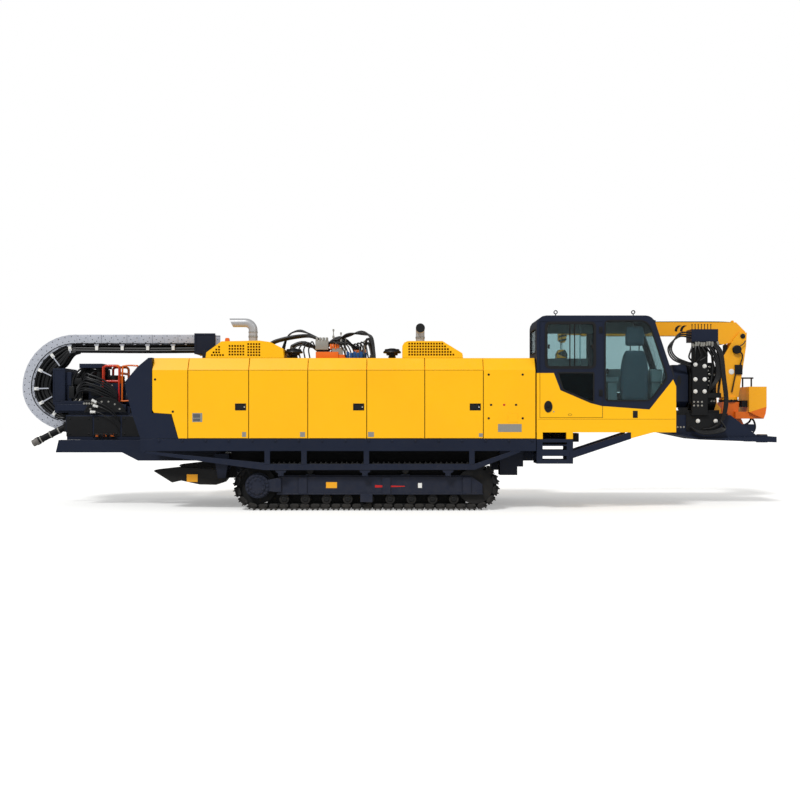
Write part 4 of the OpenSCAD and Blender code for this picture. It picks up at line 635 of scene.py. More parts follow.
# Tracks: double-grouser shoes on their link chains
track = {"sprocketX": -2.65, "idlerX": 1.31, "centreZ": 0.44, "radius": 0.371, "shoes": 54, "midY": 1.175,
         "shoeWidth": 0.45}
straight = track["idlerX"] - track["sprocketX"]
half = math.pi * track["radius"]
loopLength = 2 * straight + 2 * half
shoePitch = loopLength / track["shoes"]
shoeEdge = [(0.03, 0.025), (0.08, 0.041), (0.16, 0.041), (0.2, 0.069), (0.28, 0.069), (0.32, 0.041), (0.62, 0.041),
            (0.66, 0.069), (0.74, 0.069), (0.78, 0.041), (0.95, 0.041), (0.99, 0.025), (0.95, 0.029), (0.08, 0.029)]
shoeOutline = [((e - 0.5) * shoePitch, z) for e, z in shoeEdge]
shoePlate = outlinePlate(shoeOutline, -track["shoeWidth"] / 2, track["shoeWidth"] / 2, 0)
linkOutline = [(-0.082, -0.02), (-0.05, -0.041), (0.05, -0.041), (0.082, -0.02), (0.082, 0.018), (0.05, 0.029),
               (-0.05, 0.029), (-0.082, 0.018)]
linkY = (-0.1, 0.1)
linkSides = [outlinePlate(linkOutline, y - 0.014, y + 0.014) for y in linkY]
linkPin = turned([(-0.125, 0.022), (0.125, 0.022)], (-0.06, 0, -0.004), (0, 1, 0), 10)
shoeBolts = [turned([(0, 0.011), (0.009, 0.011)], (x, y, 0.041), sides=6) for x in (-0.018, 0.022) for y in linkY]
trackShoe = pattern("trackShoe", trackSteel=[shoePlate] + linkSides + [linkPin] + shoeBolts)


def loopSpot(s, y):  # along the loop from the bottom under the sprocket
    r, z = track["radius"], track["centreZ"]
    if s < straight:
        return (track["sprocketX"] + s, y, z - r), (0, math.pi, 0)
    if straight + half <= s < 2 * straight + half:
        return (track["idlerX"] - (s - straight - half), y, z + r), (0, 0, 0)
    if s < straight + half:
        x, a = track["idlerX"], -math.pi / 2 + (s - straight) / r
    else:
        x, a = track["sprocketX"], math.pi / 2 + (s - 2 * straight - half) / r
    return (x + r * math.cos(a), y, z + r * math.sin(a)), (0, math.pi / 2 - a, 0)


# Dark rings, discs and sheets inside each track loop are painted shade, where light would otherwise show between the
# shoes, rollers and frame.
driveBolts, wheelCaps, shadeBacking = [], [], []
capProfile = [(-0.004, 0.05), (0.012, 0.05), (0.02, 0.04), (0.02, 0.02), (0.014, 0.018)]
beltLoop = [(x, z) for (x, y, z), turn in [loopSpot(loopLength * k / 120, 0) for k in range(120)]]
shadeSheets = [(1.1, -2.5, 0.1, 1.15, 0.32), (1.1, -2.5, 0.62, 1.15, 0.8), (0.9, -3.4, 0.83, 1.9, 1.11)]  # dark sheets that paint shade behind the rollers and under the frame: y, then outline
for side, node, turn in ((-1, "track_near", near), (1, "track_far", far)):
    spots = [loopSpot((k + 0.5) * shoePitch, side * track["midY"]) for k in range(track["shoes"])]
    belt = setOut("shoes" + node[-4:], spots, trackShoe, "chassis")
    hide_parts(node)
    driveBolts += ringSpots((track["sprocketX"], side * 1.3885, track["centreZ"]), 0.185, 16, "xz", turn)
    driveBolts += ringSpots((track["sprocketX"], side * 1.4085, track["centreZ"]), 0.12, 8, "xz", turn, 0.3)
    for k in range(9):
        spot = (-2.17 + k * (0.92 + 2.17) / 8, side * 1.297, 0.198)
        wheelCaps.append(turned(capProfile, spot, (0, side, 0), 14))
    shadeBacking.append(frameRing(insetLoop(beltLoop, -0.03), 0.075, *sorted((side * 1.14, side * 1.21))))
    for x in (track["sprocketX"], track["idlerX"]):
        centre = (x, side * track["midY"], track["centreZ"])
        shadeBacking.append(turned([(-0.03, 0.1), (-0.03, 0.335), (0.03, 0.335), (0.03, 0.1)], centre, (0, 1, 0), 48))
    for inner, x0, z0, x1, z1 in shadeSheets:
        y0, y1 = sorted((side * inner, side * (inner + 0.008)))
        shadeBacking.append(roundedBox((x0, y0, z0), (x1, y1, z1), 0.004, 1))
makePiece("trackBacking", "chassis", sealRubber=shadeBacking)
setOut("driveBolts", driveBolts, navyBolt, "chassis")
makePiece("rollerCaps", "chassis", sealRubber=wheelCaps)
print("tracks done")


# Cabinets: seals, latches, bolts and blank plates on the near side; the far one stays plain
skinY, plateY, beltY = -1.496, -1.4962, -1.5
sillZ, eavesZ = 1.31, 2.535
seams = [-3.881, -2.785, -1.721, -0.659, 0.386, 1.441]
lastSeam = 2.384
sealParts = [roundedBox((x - 0.0055, -1.478, sillZ), (x + 0.0055, -1.4602, eavesZ), 0.002, 1) for x in seams]
sealParts.append(roundedBox((lastSeam - 0.0035, -1.49, sillZ), (lastSeam + 0.0035, -1.47, eavesZ), 0.002, 1))
makePiece("panelSeals", "chassis", sealRubber=sealParts)

latch = {"length": 0.198, "low": 1.813, "height": 0.124}
lockProfile = [(0, 0.014), (0.004, 0.014), (0.006, 0.011), (0.003, 0.006)]
for door in (1, 3, 5):
    right = (seams + [lastSeam])[door] - 0.047
    left = right - latch["length"]

    def latchFinish(c, left=left, right=right):
        top = latch["low"] + latch["height"]
        inside = left - 0.001 < c.x < right + 0.001 and latch["low"] - 0.001 < c.z < top + 0.001
        return "blackEnamel" if inside and c.y < -1.481 and abs(c.y - skinY) > 0.0004 else "yellowEnamel"

    body = "side_door_%d" % door
    repaint("door_%d" % door, body, latchFinish)
    midZ = latch["low"] + latch["height"] / 2
    paddle = roundedLoop(rectangle(left + 0.022, midZ - 0.04, right - 0.05, midZ + 0.04), 0.012)
    lock = turned(lockProfile, (right - 0.032, -1.4925, midZ), outward, 14)
    makePiece("latch%d" % door, body, sealRubber=[outlinePlate(paddle, -1.4985, -1.493, 0.002)], zincBolt=[lock])

blankPlates = [  # body, finish, outline as x0, z0, x1, z1, near and far face
    ("side_door_1", "zincBolt", -2.904, 1.334, -2.832, 1.424, -1.4978, plateY),
    ("side_door_2", "zincBolt", -1.86, 1.334, -1.77, 1.424, -1.4978, plateY),
    ("side_door_4", "zincBolt", -0.636, 1.334, -0.528, 1.424, -1.4978, plateY),
    ("side_door_5", "zincBolt", 1.36, 1.334, 1.43, 1.4, -1.4978, plateY),
    ("side_door_1", "zincBolt", -3.8, 1.603, -3.62, 1.765, -1.4978, plateY),
    ("side_door_1", "engineGrey", -3.785, 1.68, -3.66, 1.75, -1.4986, -1.4964),
    ("side_door_1", "engineGrey", -3.785, 1.618, -3.66, 1.665, -1.4986, -1.4964),
    ("chassis", "zincBolt", 1.704, 1.424, 2.13, 1.567, -1.4984, plateY),
    ("chassis", "yellowEnamel", 1.884, 1.6, 2.064, 1.76, -1.4992, plateY),
    ("chassis", "sealRubber", 1.56, 1.895, 1.6, 1.93, -1.4978, plateY),
    ("chassis", "redEnamel", 1.795, 1.895, 1.835, 1.93, -1.4978, plateY),
    ("chassis", "sealRubber", 2.01, 1.895, 2.05, 1.93, -1.4978, plateY),
    ("chassis", "plainWhite", -3.31, 0.95, -3.2, 1.045, -0.9105, -0.9082),
    ("chassis", "amberEnamel", -1.405, 0.4, -1.205, 0.51, -1.3318, -1.3302),
    ("chassis", "plainWhite", 0.267, 0.403, 0.34, 0.494, -1.3318, -1.3302),
    ("near_stabilizer", "amberEnamel", -3.98, 0.5, -3.78, 0.64, -1.1425, -1.1402),
]
for index, (body, finish, x0, z0, x1, z1, y0, y1) in enumerate(blankPlates):
    makePiece("blankPlate%d" % index, body, **{finish: [roundedBox((x0, y0, z0), (x1, y1, z1), 0.0005, 1)]})
wedge = outlinePlate([(-0.515, 0.41), (0.03, 0.425), (0.03, 0.44), (-0.515, 0.457)], -1.3318, -1.3302, 0)
makePiece("redWedge", "chassis", redEnamel=[wedge])
boltPlaces = [(1.537, 2.457), (2.149, 2.457), (1.537, 1.67), (2.149, 1.67), (-4.47, 2.37), (-4.15, 1.79)]
setOut("cabinetBolts", [((x, skinY, z), near) for x, z in boltPlaces], blackBolt, "chassis")
setOut("deckBolts", [((-4.4 + 0.42 * k, beltY, 1.262), near) for k in range(17)], navyBolt, "chassis")
eye = roundedLoop([(-3.29, 3.06), (-3.19, 3.074), (-3.205, 3.15), (-3.275, 3.15)], 0.02)
makePiece("hoodEye", "chassis", orangeEnamel=[outlinePlate(eye, -1.12, -1.09, 0.002)])
print("cabinets done")


# Roof: exhausts, air caps, valves and hoses
pipe = {"y": -1.08, "radius": 0.0805, "rearX": -2.769, "frontX": 0.312}
clampBands = [band((pipe["rearX"], pipe["y"], 3.16), upward, pipe["radius"]),
              band((pipe["frontX"], pipe["y"], 3.14), upward, pipe["radius"]),
              band((pipe["rearX"], pipe["y"], 3.25), upward, pipe["radius"], 0.016)]
bore = turned([(0, 0.068), (0.003, 0.068)], (pipe["frontX"], -1.1935, 3.32), (0, 1, 0), 28)
rimProfile = [(0, 0.0745), (0, 0.0835), (0.03, 0.0835), (0.03, 0.0745)]
boreRim = turned(rimProfile, (pipe["frontX"], -1.2615, 3.32), (0, 1, 0), 28)
makePiece("exhaustClamps", "chassis", zincBolt=clampBands, sealRubber=[bore, boreRim])
capProfile = [(0, 0.06), (0, 0.158), (0.012, 0.166), (0.035, 0.158), (0.07, 0.11), (0.088, 0.05), (0.09, 0)]
capRings = []
for x in (-2.014, -0.206):
    capRings += [band((x, -1.1, 2.768 + 0.016 * k), upward, 0.0605, 0.008, 0.012) for k in range(3)]
    capRings.append(turned([(0, 0.132), (0.012, 0.138), (0.02, 0.13)], (x, -1.1, 2.921), sides=28))
    capRings.append(turned(capProfile, (x, -1.1, 2.868), sides=32))
makePiece("airCapRings", "chassis", blackEnamel=capRings)


def valveFinish(c):
    if c.y < -0.805 and c.z > 2.8485:
        return "zincBolt"
    if c.y < -0.799 and c.x < -1.05:
        return "orangeEnamel"
    if c.z > 2.9005 or (abs(c.x + 1.085) < 0.016 and c.z > 2.881):
        return "zincBolt"
    return "blueEnamel" if c.x > -1.0 else "navyEnamel"


def boxRow(count, lo, hi, shift, bevel=0.006, steps=2):  # equal boxes side by side
    out = []
    for k in range(count):
        move = [d * k for d in shift]
        out.append(roundedBox([a + m for a, m in zip(lo, move)], [b + m for b, m in zip(hi, move)], bevel, steps))
    return out


repaint("roof_valves", "chassis", valveFinish)
valveParts = boxRow(6, (-1.59, -0.79, 2.8805), (-1.535, -0.6, 2.935), (0.075, 0, 0))
valveZinc, valveHoses = [], []
for k in range(6):
    valveZinc += hoseFitting((-1.562 + 0.075 * k, -0.66, 2.95), upward, 0.016)
valveOrange = boxRow(4, (-0.94, -0.8, 2.9005), (-0.895, -0.62, 2.95), (0.065, 0, 0))
for k in range(5):
    x = -1.3 + 0.05 * k
    path = [(x, -0.86 - 0.02 * (k % 2), 2.975), (x - 0.02, -0.84, 3.08 + 0.02 * k), (x - 0.2 - 0.03 * k, -0.74, 3.05),
            (x - 0.24 - 0.03 * k, -0.66, 2.965)]
    valveHoses.append(tube(path, 0.014))
valveHoses += hoseFan(4, 0.015, [(-0.93, -0.7, 2.95, 0.065), (-0.92, -0.72, 3.06, 0.065, 0, 0.02),
                                 (-0.83, -0.9, 3.02, 0.065), (-0.79, -1.0, 2.85, 0.065),
                                 (-0.77, -1.06, 2.772, 0.065)])
# Thick bundle from the rear hood to the first bank, with thinner hoses beside it
valveHoses += hoseFan(3, 0.024, [(-2.5, -0.9, 3.0, 0, -0.05, 0.015), (-2.36, -0.9, 3.09, 0, -0.05, 0.01),
                                 (-2.05, -0.92, 3.16, 0, -0.04, 0.012), (-1.75, -0.94, 3.19, 0, 0, 0.01),
                                 (-1.56, -0.93, 3.13, 0, -0.02)])
valveHoses += hoseFan(3, 0.014, [(-2.24, -0.8, 2.9, -0.02, -0.05), (-2.16, -0.82, 3.2),
                                 (-1.99, -0.85, 3.29, 0.02, 0, 0.012), (-1.76, -0.88, 3.25),
                                 (-1.58, -0.9, 3.13, 0.03)], 6)
valveHoses += hoseFan(3, 0.016, [(-1.28, -0.9, 3.13, 0.04), (-1.02, -0.88, 3.2, 0, -0.04, 0.02),
                                 (-0.78, -0.9, 3.29, 0.02, 0, -0.03), (-0.62, -0.95, 3.18, 0.02),
                                 (-0.56, -1.02, 2.9, 0.015), (-0.56, -1.05, 2.772, 0.02)], 6)
# Low loops between the banks
valveHoses += hoseFan(4, 0.013, [(-2.0, -1.0, 2.78, 0.09), (-2.02, -1.02, 2.95, 0.09),
                                 (-1.9, -1.0, 3.03, 0.07, 0, 0.02), (-1.72, -0.97, 2.98, 0.03)], 6)
valveHoses += hoseFan(4, 0.012, [(-1.38, -0.95, 3.0, 0.07), (-1.3, -1.02, 3.08, 0.07), (-1.14, -1.04, 3.0, 0.06),
                                 (-1.06, -1.0, 2.8, 0.06)], 6)
testPoint = [(0, 0.02), (0.05, 0.02), (0.052, 0.008), (0.13, 0.008), (0.132, 0.017), (0.17, 0.017)]
valveZinc += [turned(testPoint, (x, -0.9, top - 0.17), sides=10) for x, top in ((-1.3, 3.33), (-1.16, 3.27))]
silver = [roundedBox((-1.63, -1.0, 2.94), (-1.39, -0.84, 3.12), 0.012)]
silver += boxRow(4, (-1.62, -1.005, 3.1), (-1.58, -0.86, 3.17), (0.06, 0, 0))
stalk = roundedBox((-1.6, -0.98, 2.768), (-1.42, -0.86, 2.95), 0.006, 1)
for k in range(4):
    x, z = -1.36 + 0.045 * k, 2.95 + 0.02 * (k % 2)
    valveOrange.append(roundedBox((x, -1.0, z), (x + 0.035, -0.88, 3.05)))
valveOrange.append(roundedBox((-1.62, -1.03, 2.77), (-1.2, -0.86, 2.9)))
for k in range(5):
    x = -1.05 + 0.062 * k
    valveParts.append(roundedBox((x, -1.06, 2.772), (x + 0.05, -0.9, 2.9 - 0.02 * (k % 2)), 0.008))
makePiece("roofBlocks", "chassis", zincBolt=silver, blackEnamel=[stalk])
makePiece("roofValveBanks", "chassis", blueEnamel=valveParts, zincBolt=valveZinc, orangeEnamel=valveOrange,
          hoseRubber=valveHoses)
endPlaces = [(-1.56, -0.64, 2.88), (-1.5, -0.74, 2.88), (-1.42, -0.68, 2.88), (-0.86, -0.66, 2.9), (-0.9, -0.75, 2.9),
             (-0.8, -0.79, 2.9), (-2.095, -0.76, 2.96), (-2.095, -0.65, 2.96), (-0.56, -0.74, 2.812),
             (-0.6, -0.65, 2.812)]
endProfile = [(0.001, 0.036), (0.02, 0.036), (0.024, 0.033), (0.05, 0.033)]
roofEnds = [turned(endProfile, p, sides=6 if p[0] < -1 else 10) for p in endPlaces]
makePiece("roofHoseEnds", "chassis", zincBolt=roofEnds)
print("roof done")


# Cab: trim and glass of the door, seals, lining, controls, seat, steps
doorFace = -1.5003
lowerPane = [(2.79, 2.485), (3.42, 2.485), (3.42, 1.97), (3.371, 1.975), (2.88, 2.19)]
frontPane = [(3.636, 3.425), (4.33, 3.425), (4.44, 3.34), (4.752, 2.395), (4.44, 1.99), (3.636, 1.99)]
doorSeals = [frameRing(roundedLoop(rectangle(2.546, 2.562, 3.47, 3.413), 0.11, 6), 0.05, -1.507, doorFace),
             frameRing(roundedLoop(insetLoop(lowerPane, -0.02), 0.03), 0.028, -1.505, doorFace)]
doorSeals += [roundedBox((x, skinY, 2.602), (x + 0.02, -1.4885, 3.373), 0.002, 1) for x in (2.99, 3.075)]
doorSeals += [roundedBox((x, -1.509, 2.925), (x + 0.035, -1.4965, 3.0), 0.005) for x in (2.6, 3.385)]
doorSeals.append(frameRing(oval(2.609, 1.88, 0.075, 0.106, 28), 0.012, -1.508, doorFace))
doorSeals.append(outlinePlate(oval(2.609, 1.88, 0.064, 0.095, 28), -1.5035, doorFace, 0))
doorSeals.append(frameRing(oval(3.0, 1.735, 0.036, 0.02), 0.005, -1.5016, doorFace))
doorBlack = [roundedBox((3.52, -1.508, z - 0.06), (3.588, doorFace, z + 0.06), 0.003) for z in (3.26, 2.126)]
doorBlack.append(roundedBox((2.575, -1.5085, 1.86), (2.643, -1.5037, 1.935)))
keyhole = turned([(0, 0.013), (0.004, 0.013), (0.005, 0.006)], (2.707, doorFace, 1.79), outward, 14)
makePiece("doorTrim", "operator_door", sealRubber=doorSeals, blackEnamel=doorBlack,
          smokedGlass=[outlinePlate(insetLoop(lowerPane, 0.002), -1.4895, -1.4865, 0)], zincBolt=[keyhole])

cabTrim = [frameRing(roundedLoop(insetLoop(frontPane, -0.016), 0.09, 5), 0.026, -1.503, -1.4963),
           frameRing(rectangle(2.4562, 1.6785, 3.5958, 3.4095), 0.004, -1.4935, -1.47),
           roundedBox((2.43, -1.4976, 1.6525), (4.9, plateY, 1.6565), 0.0005, 1),
           roundedBox((4.132, -1.4985, 1.677), (4.22, plateY, 1.806), 0.003),
           frameRing(roundedLoop(rectangle(2.7, 2.06, 3.5, 3.35), 0.06), 0.02, -0.5497, -0.5445),
           frameRing(roundedLoop(rectangle(-1.366, 2.85, -0.68, 3.3), 0.06), 0.02, 2.3955, 2.4017, "yz")]
makePiece("cabSeals", "chassis", sealRubber=cabTrim)
lining = [outlinePlate(points, -0.635, -0.598, 0.01) for points in (
    rectangle(2.47, 1.47, 3.5, 2.05), [(3.5, 1.47), (4.66, 1.47), (4.8, 2.2), (4.66, 2.3), (4.5, 2.15), (3.5, 2.15)])]
lining.append(roundedBox((2.47, -1.44, 1.4635), (4.8, -0.62, 1.47), 0.002, 1))
paleLining = [outlinePlate(points, -0.632, -0.6, 0.01) for points in (
    rectangle(2.5, 2.07, 3.5, 2.8), [(3.52, 2.17), (4.45, 2.17), (4.6, 2.32), (4.55, 2.6), (3.52, 2.6)],
    [(2.5, 3.27), (4.42, 3.27), (4.36, 3.46), (4.2, 3.5), (2.5, 3.5)])]
makePiece("cabLining", "chassis", sealRubber=lining, cabPlastic=paleLining)
doorLine = roundedBox((3.5815, -1.5012, 1.686), (3.5885, -1.5002, 2.1), 0.0003, 1)
makePiece("doorLine", "operator_door", sealRubber=[doorLine])
wiperAndLamp = [tube([(4.7, -1.02, 2.46), (4.6, -1.02, 2.8), (4.53, -1.02, 3.02)], 0.007, steps=3),
                roundedBox((4.52, -1.3, 3.405), (4.6, -1.18, 3.46), 0.012)]
dash = [roundedBox((4.5, -1.36, 2.32), (4.7, -1.0, 2.56), 0.03, 3),
        roundedBox((3.66, -1.36, 2.324), (3.9, -1.1, 2.42), 0.02, 3)]
leverX, consoleZ = (3.8, 4.6), 2.3225
knob = [(0, 0.02), (0.05, 0.026), (0.1, 0.03), (0.13, 0.018), (0.14, 0.0)]
bellows = [(0, 0.06), (0.015, 0.05), (0.03, 0.056), (0.045, 0.04), (0.06, 0.045), (0.075, 0.02)]
levers = [turned(knob, (x, -0.9, 2.46), sides=14) for x in leverX]
levers += [turned(bellows, (x, -0.9, consoleZ), sides=16) for x in leverX]
buttons = []
for x in leverX:
    buttons += boxRow(3, (x - 0.06, -1.06, consoleZ), (x - 0.038, -1.0, 2.334), (0.035, 0, 0), 0.003, 1)
makePiece("cabControls", "chassis", cabPlastic=dash, sealRubber=levers, plainWhite=buttons, blackEnamel=wiperAndLamp)


def cushion(lo, hi, radius, crown, axis, lean=0.0, taper=0.0):  # a stuffed pad: one face crowned, leaning as it rises
    mesh = bmesh.new()
    bmesh.ops.create_cube(mesh, size=2.0)
    bmesh.ops.subdivide_edges(mesh, edges=mesh.edges[:], cuts=9, use_grid_fill=True)
    half, mid = (Vector(hi) - Vector(lo)) / 2, (Vector(hi) + Vector(lo)) / 2
    for v in mesh.verts:
        p = Vector([v.co[i] * half[i] for i in range(3)])
        core = Vector([max(-(half[i] - radius), min(half[i] - radius, p[i])) for i in range(3)])
        out = p - core
        if out.length > 1e-9:
            p = core + out.normalized() * radius
        u, w = [v.co[i] for i in range(3) if i != axis]
        if v.co[axis] > 0:
            p[axis] += crown * (1 - u * u) * (1 - w * w)
        p.x *= 1 - taper * max(0.0, v.co.z) ** 2
        v.co = mid + p
        v.co.y += lean * (v.co.z - lo[2])
    return takeMesh(mesh)


sx, sy = 4.2, -1.03  # middle of the seat
pads = {
    "seatCushion": ((sx - 0.26, sy - 0.23, 1.8), (sx + 0.26, sy + 0.23, 1.945), 0.055, 0.02, 2),
    "seatBackrest": ((sx - 0.255, sy - 0.335, 1.95), (sx + 0.255, sy - 0.215, 2.9), 0.055, 0.025, 1, -0.035, 0.3),
    "seatHeadrest": ((sx - 0.17, sy - 0.365, 2.985), (sx + 0.17, sy - 0.285, 3.34), 0.038, 0.015, 1, 0.0, 0.18),
}
for name, values in pads.items():
    pad = makePiece(name, "chassis", "seat_cloth", 80, seatVinyl=[cushion(*values)])
piping = [tube([(sx + s * 0.17, sy - 0.2, 1.95), (sx + s * 0.17, sy + 0.2, 1.95)], 0.004, 6, 2) for s in (-1, 1)]
base = [roundedBox((sx - 0.2, sy - 0.18, 1.4705), (sx + 0.2, sy + 0.18, 1.79), 0.03, 3),
        roundedBox((sx - 0.24, sy - 0.2, 1.76), (sx + 0.24, sy + 0.2, 1.802), 0.012)]
base += [turned([(0, 0.01), (0.14, 0.01)], (sx + s * 0.08, sy - 0.325, 2.87), sides=10) for s in (-1, 1)]
seatBase = makePiece("seatBase", "chassis", "seat_cloth", sealRubber=base, seatVinyl=piping)
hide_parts("cab_seat")

treads = []
for z in (0.878, 1.046, 1.196):
    treads += boxRow(10, (2.42, -1.485, z), (2.436, -1.105, z + 0.008), (0.062, 0, 0), 0.002, 1)
makePiece("stepTreads", "chassis", blackEnamel=treads)
underCab = [roundedBox((3.07, -1.3, 1.24), (3.2, -1.0, 1.4), 0.012),
            roundedBox((2.5, -1.04, 1.3), (2.9, -0.72, 1.41), 0.012)]
underHoses = hoseFan(4, 0.016, [(2.5, -1.2, 1.4, 0.1), (2.6, -1.15, 1.33, 0.09), (2.8, -1.1, 1.34, 0.06),
                                (3.07, -1.1, 1.3, 0, 0, 0.02)])
makePiece("underCab", "chassis", blackEnamel=underCab, hoseRubber=underHoses)
print("cab done")


# Crane: bolts, stripes, hoses on the column, bracket and hook
craneX, craneY = 6.7, 0.95
setOut("slewBolts", ringSpots((craneX, craneY, 2.0405), 0.185, 16, "xy", up), blackBolt, "chassis")
# The pedestal's orange below the black slewing ring is painted shade: its amber paint as it looks in shadow.
repaint("crane_pedestal", "chassis", lambda c: "blackEnamel" if c.z > 1.9985 else "orangeEnamel")


# Black on the rails on top; the black band left of the box front is painted shade in the box's open side, the amber
# box front is the lit paint, and the orange elsewhere is painted shade on that same amber paint.
def standPaintAndShade(c):
    boxFront = 7.0138
    if c.z > 2.3085 or (1.899 < c.z < 2.031 and c.x < boxFront and 0.719 < c.y < 1.17):
        return "blackEnamel"
    return "amberEnamel" if c.x > boxFront and c.z > 1.89 else "orangeEnamel"


repaint("crane_stand", "chassis", standPaintAndShade)


def slash(x, z, width, height):  # a dark curved stripe on the boom's flank
    turns = [k / 8 * math.pi / 2 for k in range(9)]
    outer = [(x + width * (1 - math.cos(a)), z + height * math.sin(a)) for a in turns]
    inner = [(px - 0.05, pz + 0.012) for px, pz in outer[::-1]]
    return outlinePlate(outer + inner, craneY - 0.0905, craneY - 0.0882, 0)


makePiece("boomStripes", "boom", blackEnamel=[slash(x, 3.44, 0.1, 0.12) for x in (5.62, 5.73)])
pinCap = [(0, 0.05), (0.012, 0.05), (0.02, 0.03)]
pinCaps = [turned(pinCap, (6.95, craneY + s * 0.131, 3.347), (0, s, 0), 20) for s in (-1, 1)]
makePiece("boomPinCaps", "crane_post", blackEnamel=pinCaps)
lug = roundedLoop([(6.74, 3.625), (6.82, 3.62), (6.8, 3.68), (6.76, 3.68)], 0.02)
makePiece("boomLug", "boom", amberEnamel=[outlinePlate(lug, 0.93, 0.97, 0.002)])
boomPath = [(5.2, craneY - 0.03, 3.645, 0, 0.06), (5.8, craneY - 0.03, 3.647, 0, 0.06),
            (6.5, craneY - 0.03, 3.645, 0, 0.06), (6.78, craneY - 0.03, 3.63, 0, 0.06)]
makePiece("boomLines", "boom", hoseRubber=hoseFan(2, 0.012, boomPath, 4))
postY = craneY - 0.13
reelProfile = [(0, 0.03), (0.004, 0.085), (0.012, 0.088), (0.02, 0.07), (0.05, 0.07), (0.058, 0.088), (0.066, 0.085),
               (0.068, 0.03)]
reel = [turned(reelProfile, (6.82, postY - 0.002, 3.07), outward),
        roundedBox((6.78, postY - 0.03, 2.56), (6.94, postY - 0.002, 2.76), 0.01)]
postPaths = [(0.014, [(6.86, 0.05, 3.05), (6.93, 0.05, 2.95), (6.9, 0.03, 2.8), (6.86, 0.02, 2.66)]),
             (0.012, [(6.8, 0.03, 3.1), (6.93, 0.05, 3.17), (6.99, 0.05, 3.25)]),
             (0.014, [(6.8, 0.02, 2.58), (6.76, 0.02, 2.4), (6.72, 0.02, 2.2)])]
postHoses = [tube([(x, postY - y, z) for x, y, z in path], radius) for radius, path in postPaths]
badge = turned([(0, 0.056), (0.003, 0.056), (0.004, 0.048)], (6.72, postY - 0.0005, 2.62), outward)
makePiece("postFittings", "crane_post", blackEnamel=reel, hoseRubber=postHoses, plainWhite=[badge])
bracket = [(6.5, 1.74), (6.5, 1.86), (6.42, 1.96), (6.4, 2.2), (6.27, 2.2), (6.27, 1.92), (6.36, 1.76)]
eyeRing = turned([(0, 0.04), (0.02, 0.04), (0.02, 0.022), (0.001, 0.022)], (6.335, craneY - 0.15, 2.13), outward, 20)
bracketPlate = outlinePlate(roundedLoop(bracket, 0.03), craneY - 0.15, craneY - 0.11)
makePiece("craneBracket", "chassis", amberEnamel=[bracketPlate, eyeRing])
pipePaths = [(craneY, [(6.76, 1.68), (6.84, 1.56), (6.98, 1.52), (7.12, 1.58), (7.19, 1.7)]),
             (craneY + 0.05, [(7.16, 1.72), (7.25, 1.6), (7.27, 1.46), (7.2, 1.36), (7.1, 1.52)])]
makePiece("boxPipes", "chassis", hoseRubber=[tube([(x, y, z) for x, z in path], 0.02, 10) for y, path in pipePaths])


def hookFinish(c):
    if c.z > 3.0725 or abs(c.y - craneY) > 0.101:
        return "blackEnamel"
    return "amberEnamel" if int((c.z - 2.8) / 0.075 + 100) % 2 else "blackEnamel"


repaint("hook_block", "inner_boom", hookFinish)
hookX = 3.26
hookPath = [(0, 2.86), (0, 2.835), (0.035, 2.808), (0.02, 2.789), (-0.02, 2.789), (-0.04, 2.81)]
makePiece("hook", "inner_boom", blackEnamel=[tube([(hookX + x, craneY, z) for x, z in hookPath], 0.011, 10)])
tipStripes = []
for z in (3.23, 3.32, 3.41):
    stripe = [(3.2, z), (3.36, z + 0.04), (3.36, z + 0.08), (3.2, z + 0.04)]
    tipStripes.append(outlinePlate(stripe, craneY - 0.0625, craneY - 0.0603, 0))
makePiece("tipStripes", "inner_boom", blackEnamel=tipStripes)
print("crane done")


# Vises: bolts, hoses from the valve box, jaws and rims
columnY, flankY = -0.5457, -0.4892
axisZ = 2.06  # of the drill string
viseSpots = [(5.555, columnY, 2.69), (5.555, columnY, 2.41), (5.73, columnY, 2.41), (5.555, columnY, 2.18),
             (5.73, columnY, 2.18), (5.73, columnY, 2.66), (5.62, flankY, 1.617), (5.96, flankY, 1.617)]
setOut("viseBolts", [(p, near) for p in viseSpots], largeZinc, "mast")
gridSpots = [(5.53 + 0.075 * i, columnY, 1.91 + 0.07 * k) for i in range(3) for k in range(2)]
setOut("viseSmallBolts", [(p, near) for p in gridSpots], smallZinc, "mast")
noseSpots = [(x, -0.466, 1.5) for x in (5.24, 5.3, 5.36)]
noseSpots += [(x, -0.4302, z) for x in (5.9, 5.95) for z in (2.0, 2.25, 2.5)]
setOut("noseBolts", [(p, near) for p in noseSpots], smallZinc, "mast")
repaint("valve_stack", "mast", lambda c: "navyEnamel" if c.z > 3.1265 else "blackEnamel")
visePipes, viseFits = [], []
starts = [(5.5 + 0.052 * k, -0.57 - 0.02 * (k % 2)) for k in range(10)]
for x, y in starts:  # crimped ends under the valve box, each a little askew
    lean = (dice.uniform(-0.35, 0.35), dice.uniform(-0.3, 0.0), 1)
    viseFits += hoseFitting((x, y, 3.055 + dice.uniform(-0.02, 0.03)), lean, 0.019)
for k, (x, y) in enumerate(starts[:4]):  # short loops on to the column
    visePipes.append(tube([(x, y, 3.06), (x - 0.05 + 0.03 * k, y - 0.03, 2.95),
                           (x - 0.08 + 0.06 * k, y - 0.02, 2.83 + 0.02 * (k % 2)), (x - 0.02, -0.57, 2.76)], 0.016))
for k, (x, y) in enumerate(starts[4:8]):  # hoses that swing out and back to the vise's own block
    visePipes.append(tube([(x, y, 3.06), (x + 0.1, y - 0.03, 2.92), (5.93 + 0.025 * k, -0.61, 2.7),
                           (5.93 + 0.02 * k, -0.61, 2.45), (5.84 + 0.01 * k, -0.6, 2.26),
                           (5.81, -0.53, 2.14 + 0.015 * k)], 0.019))
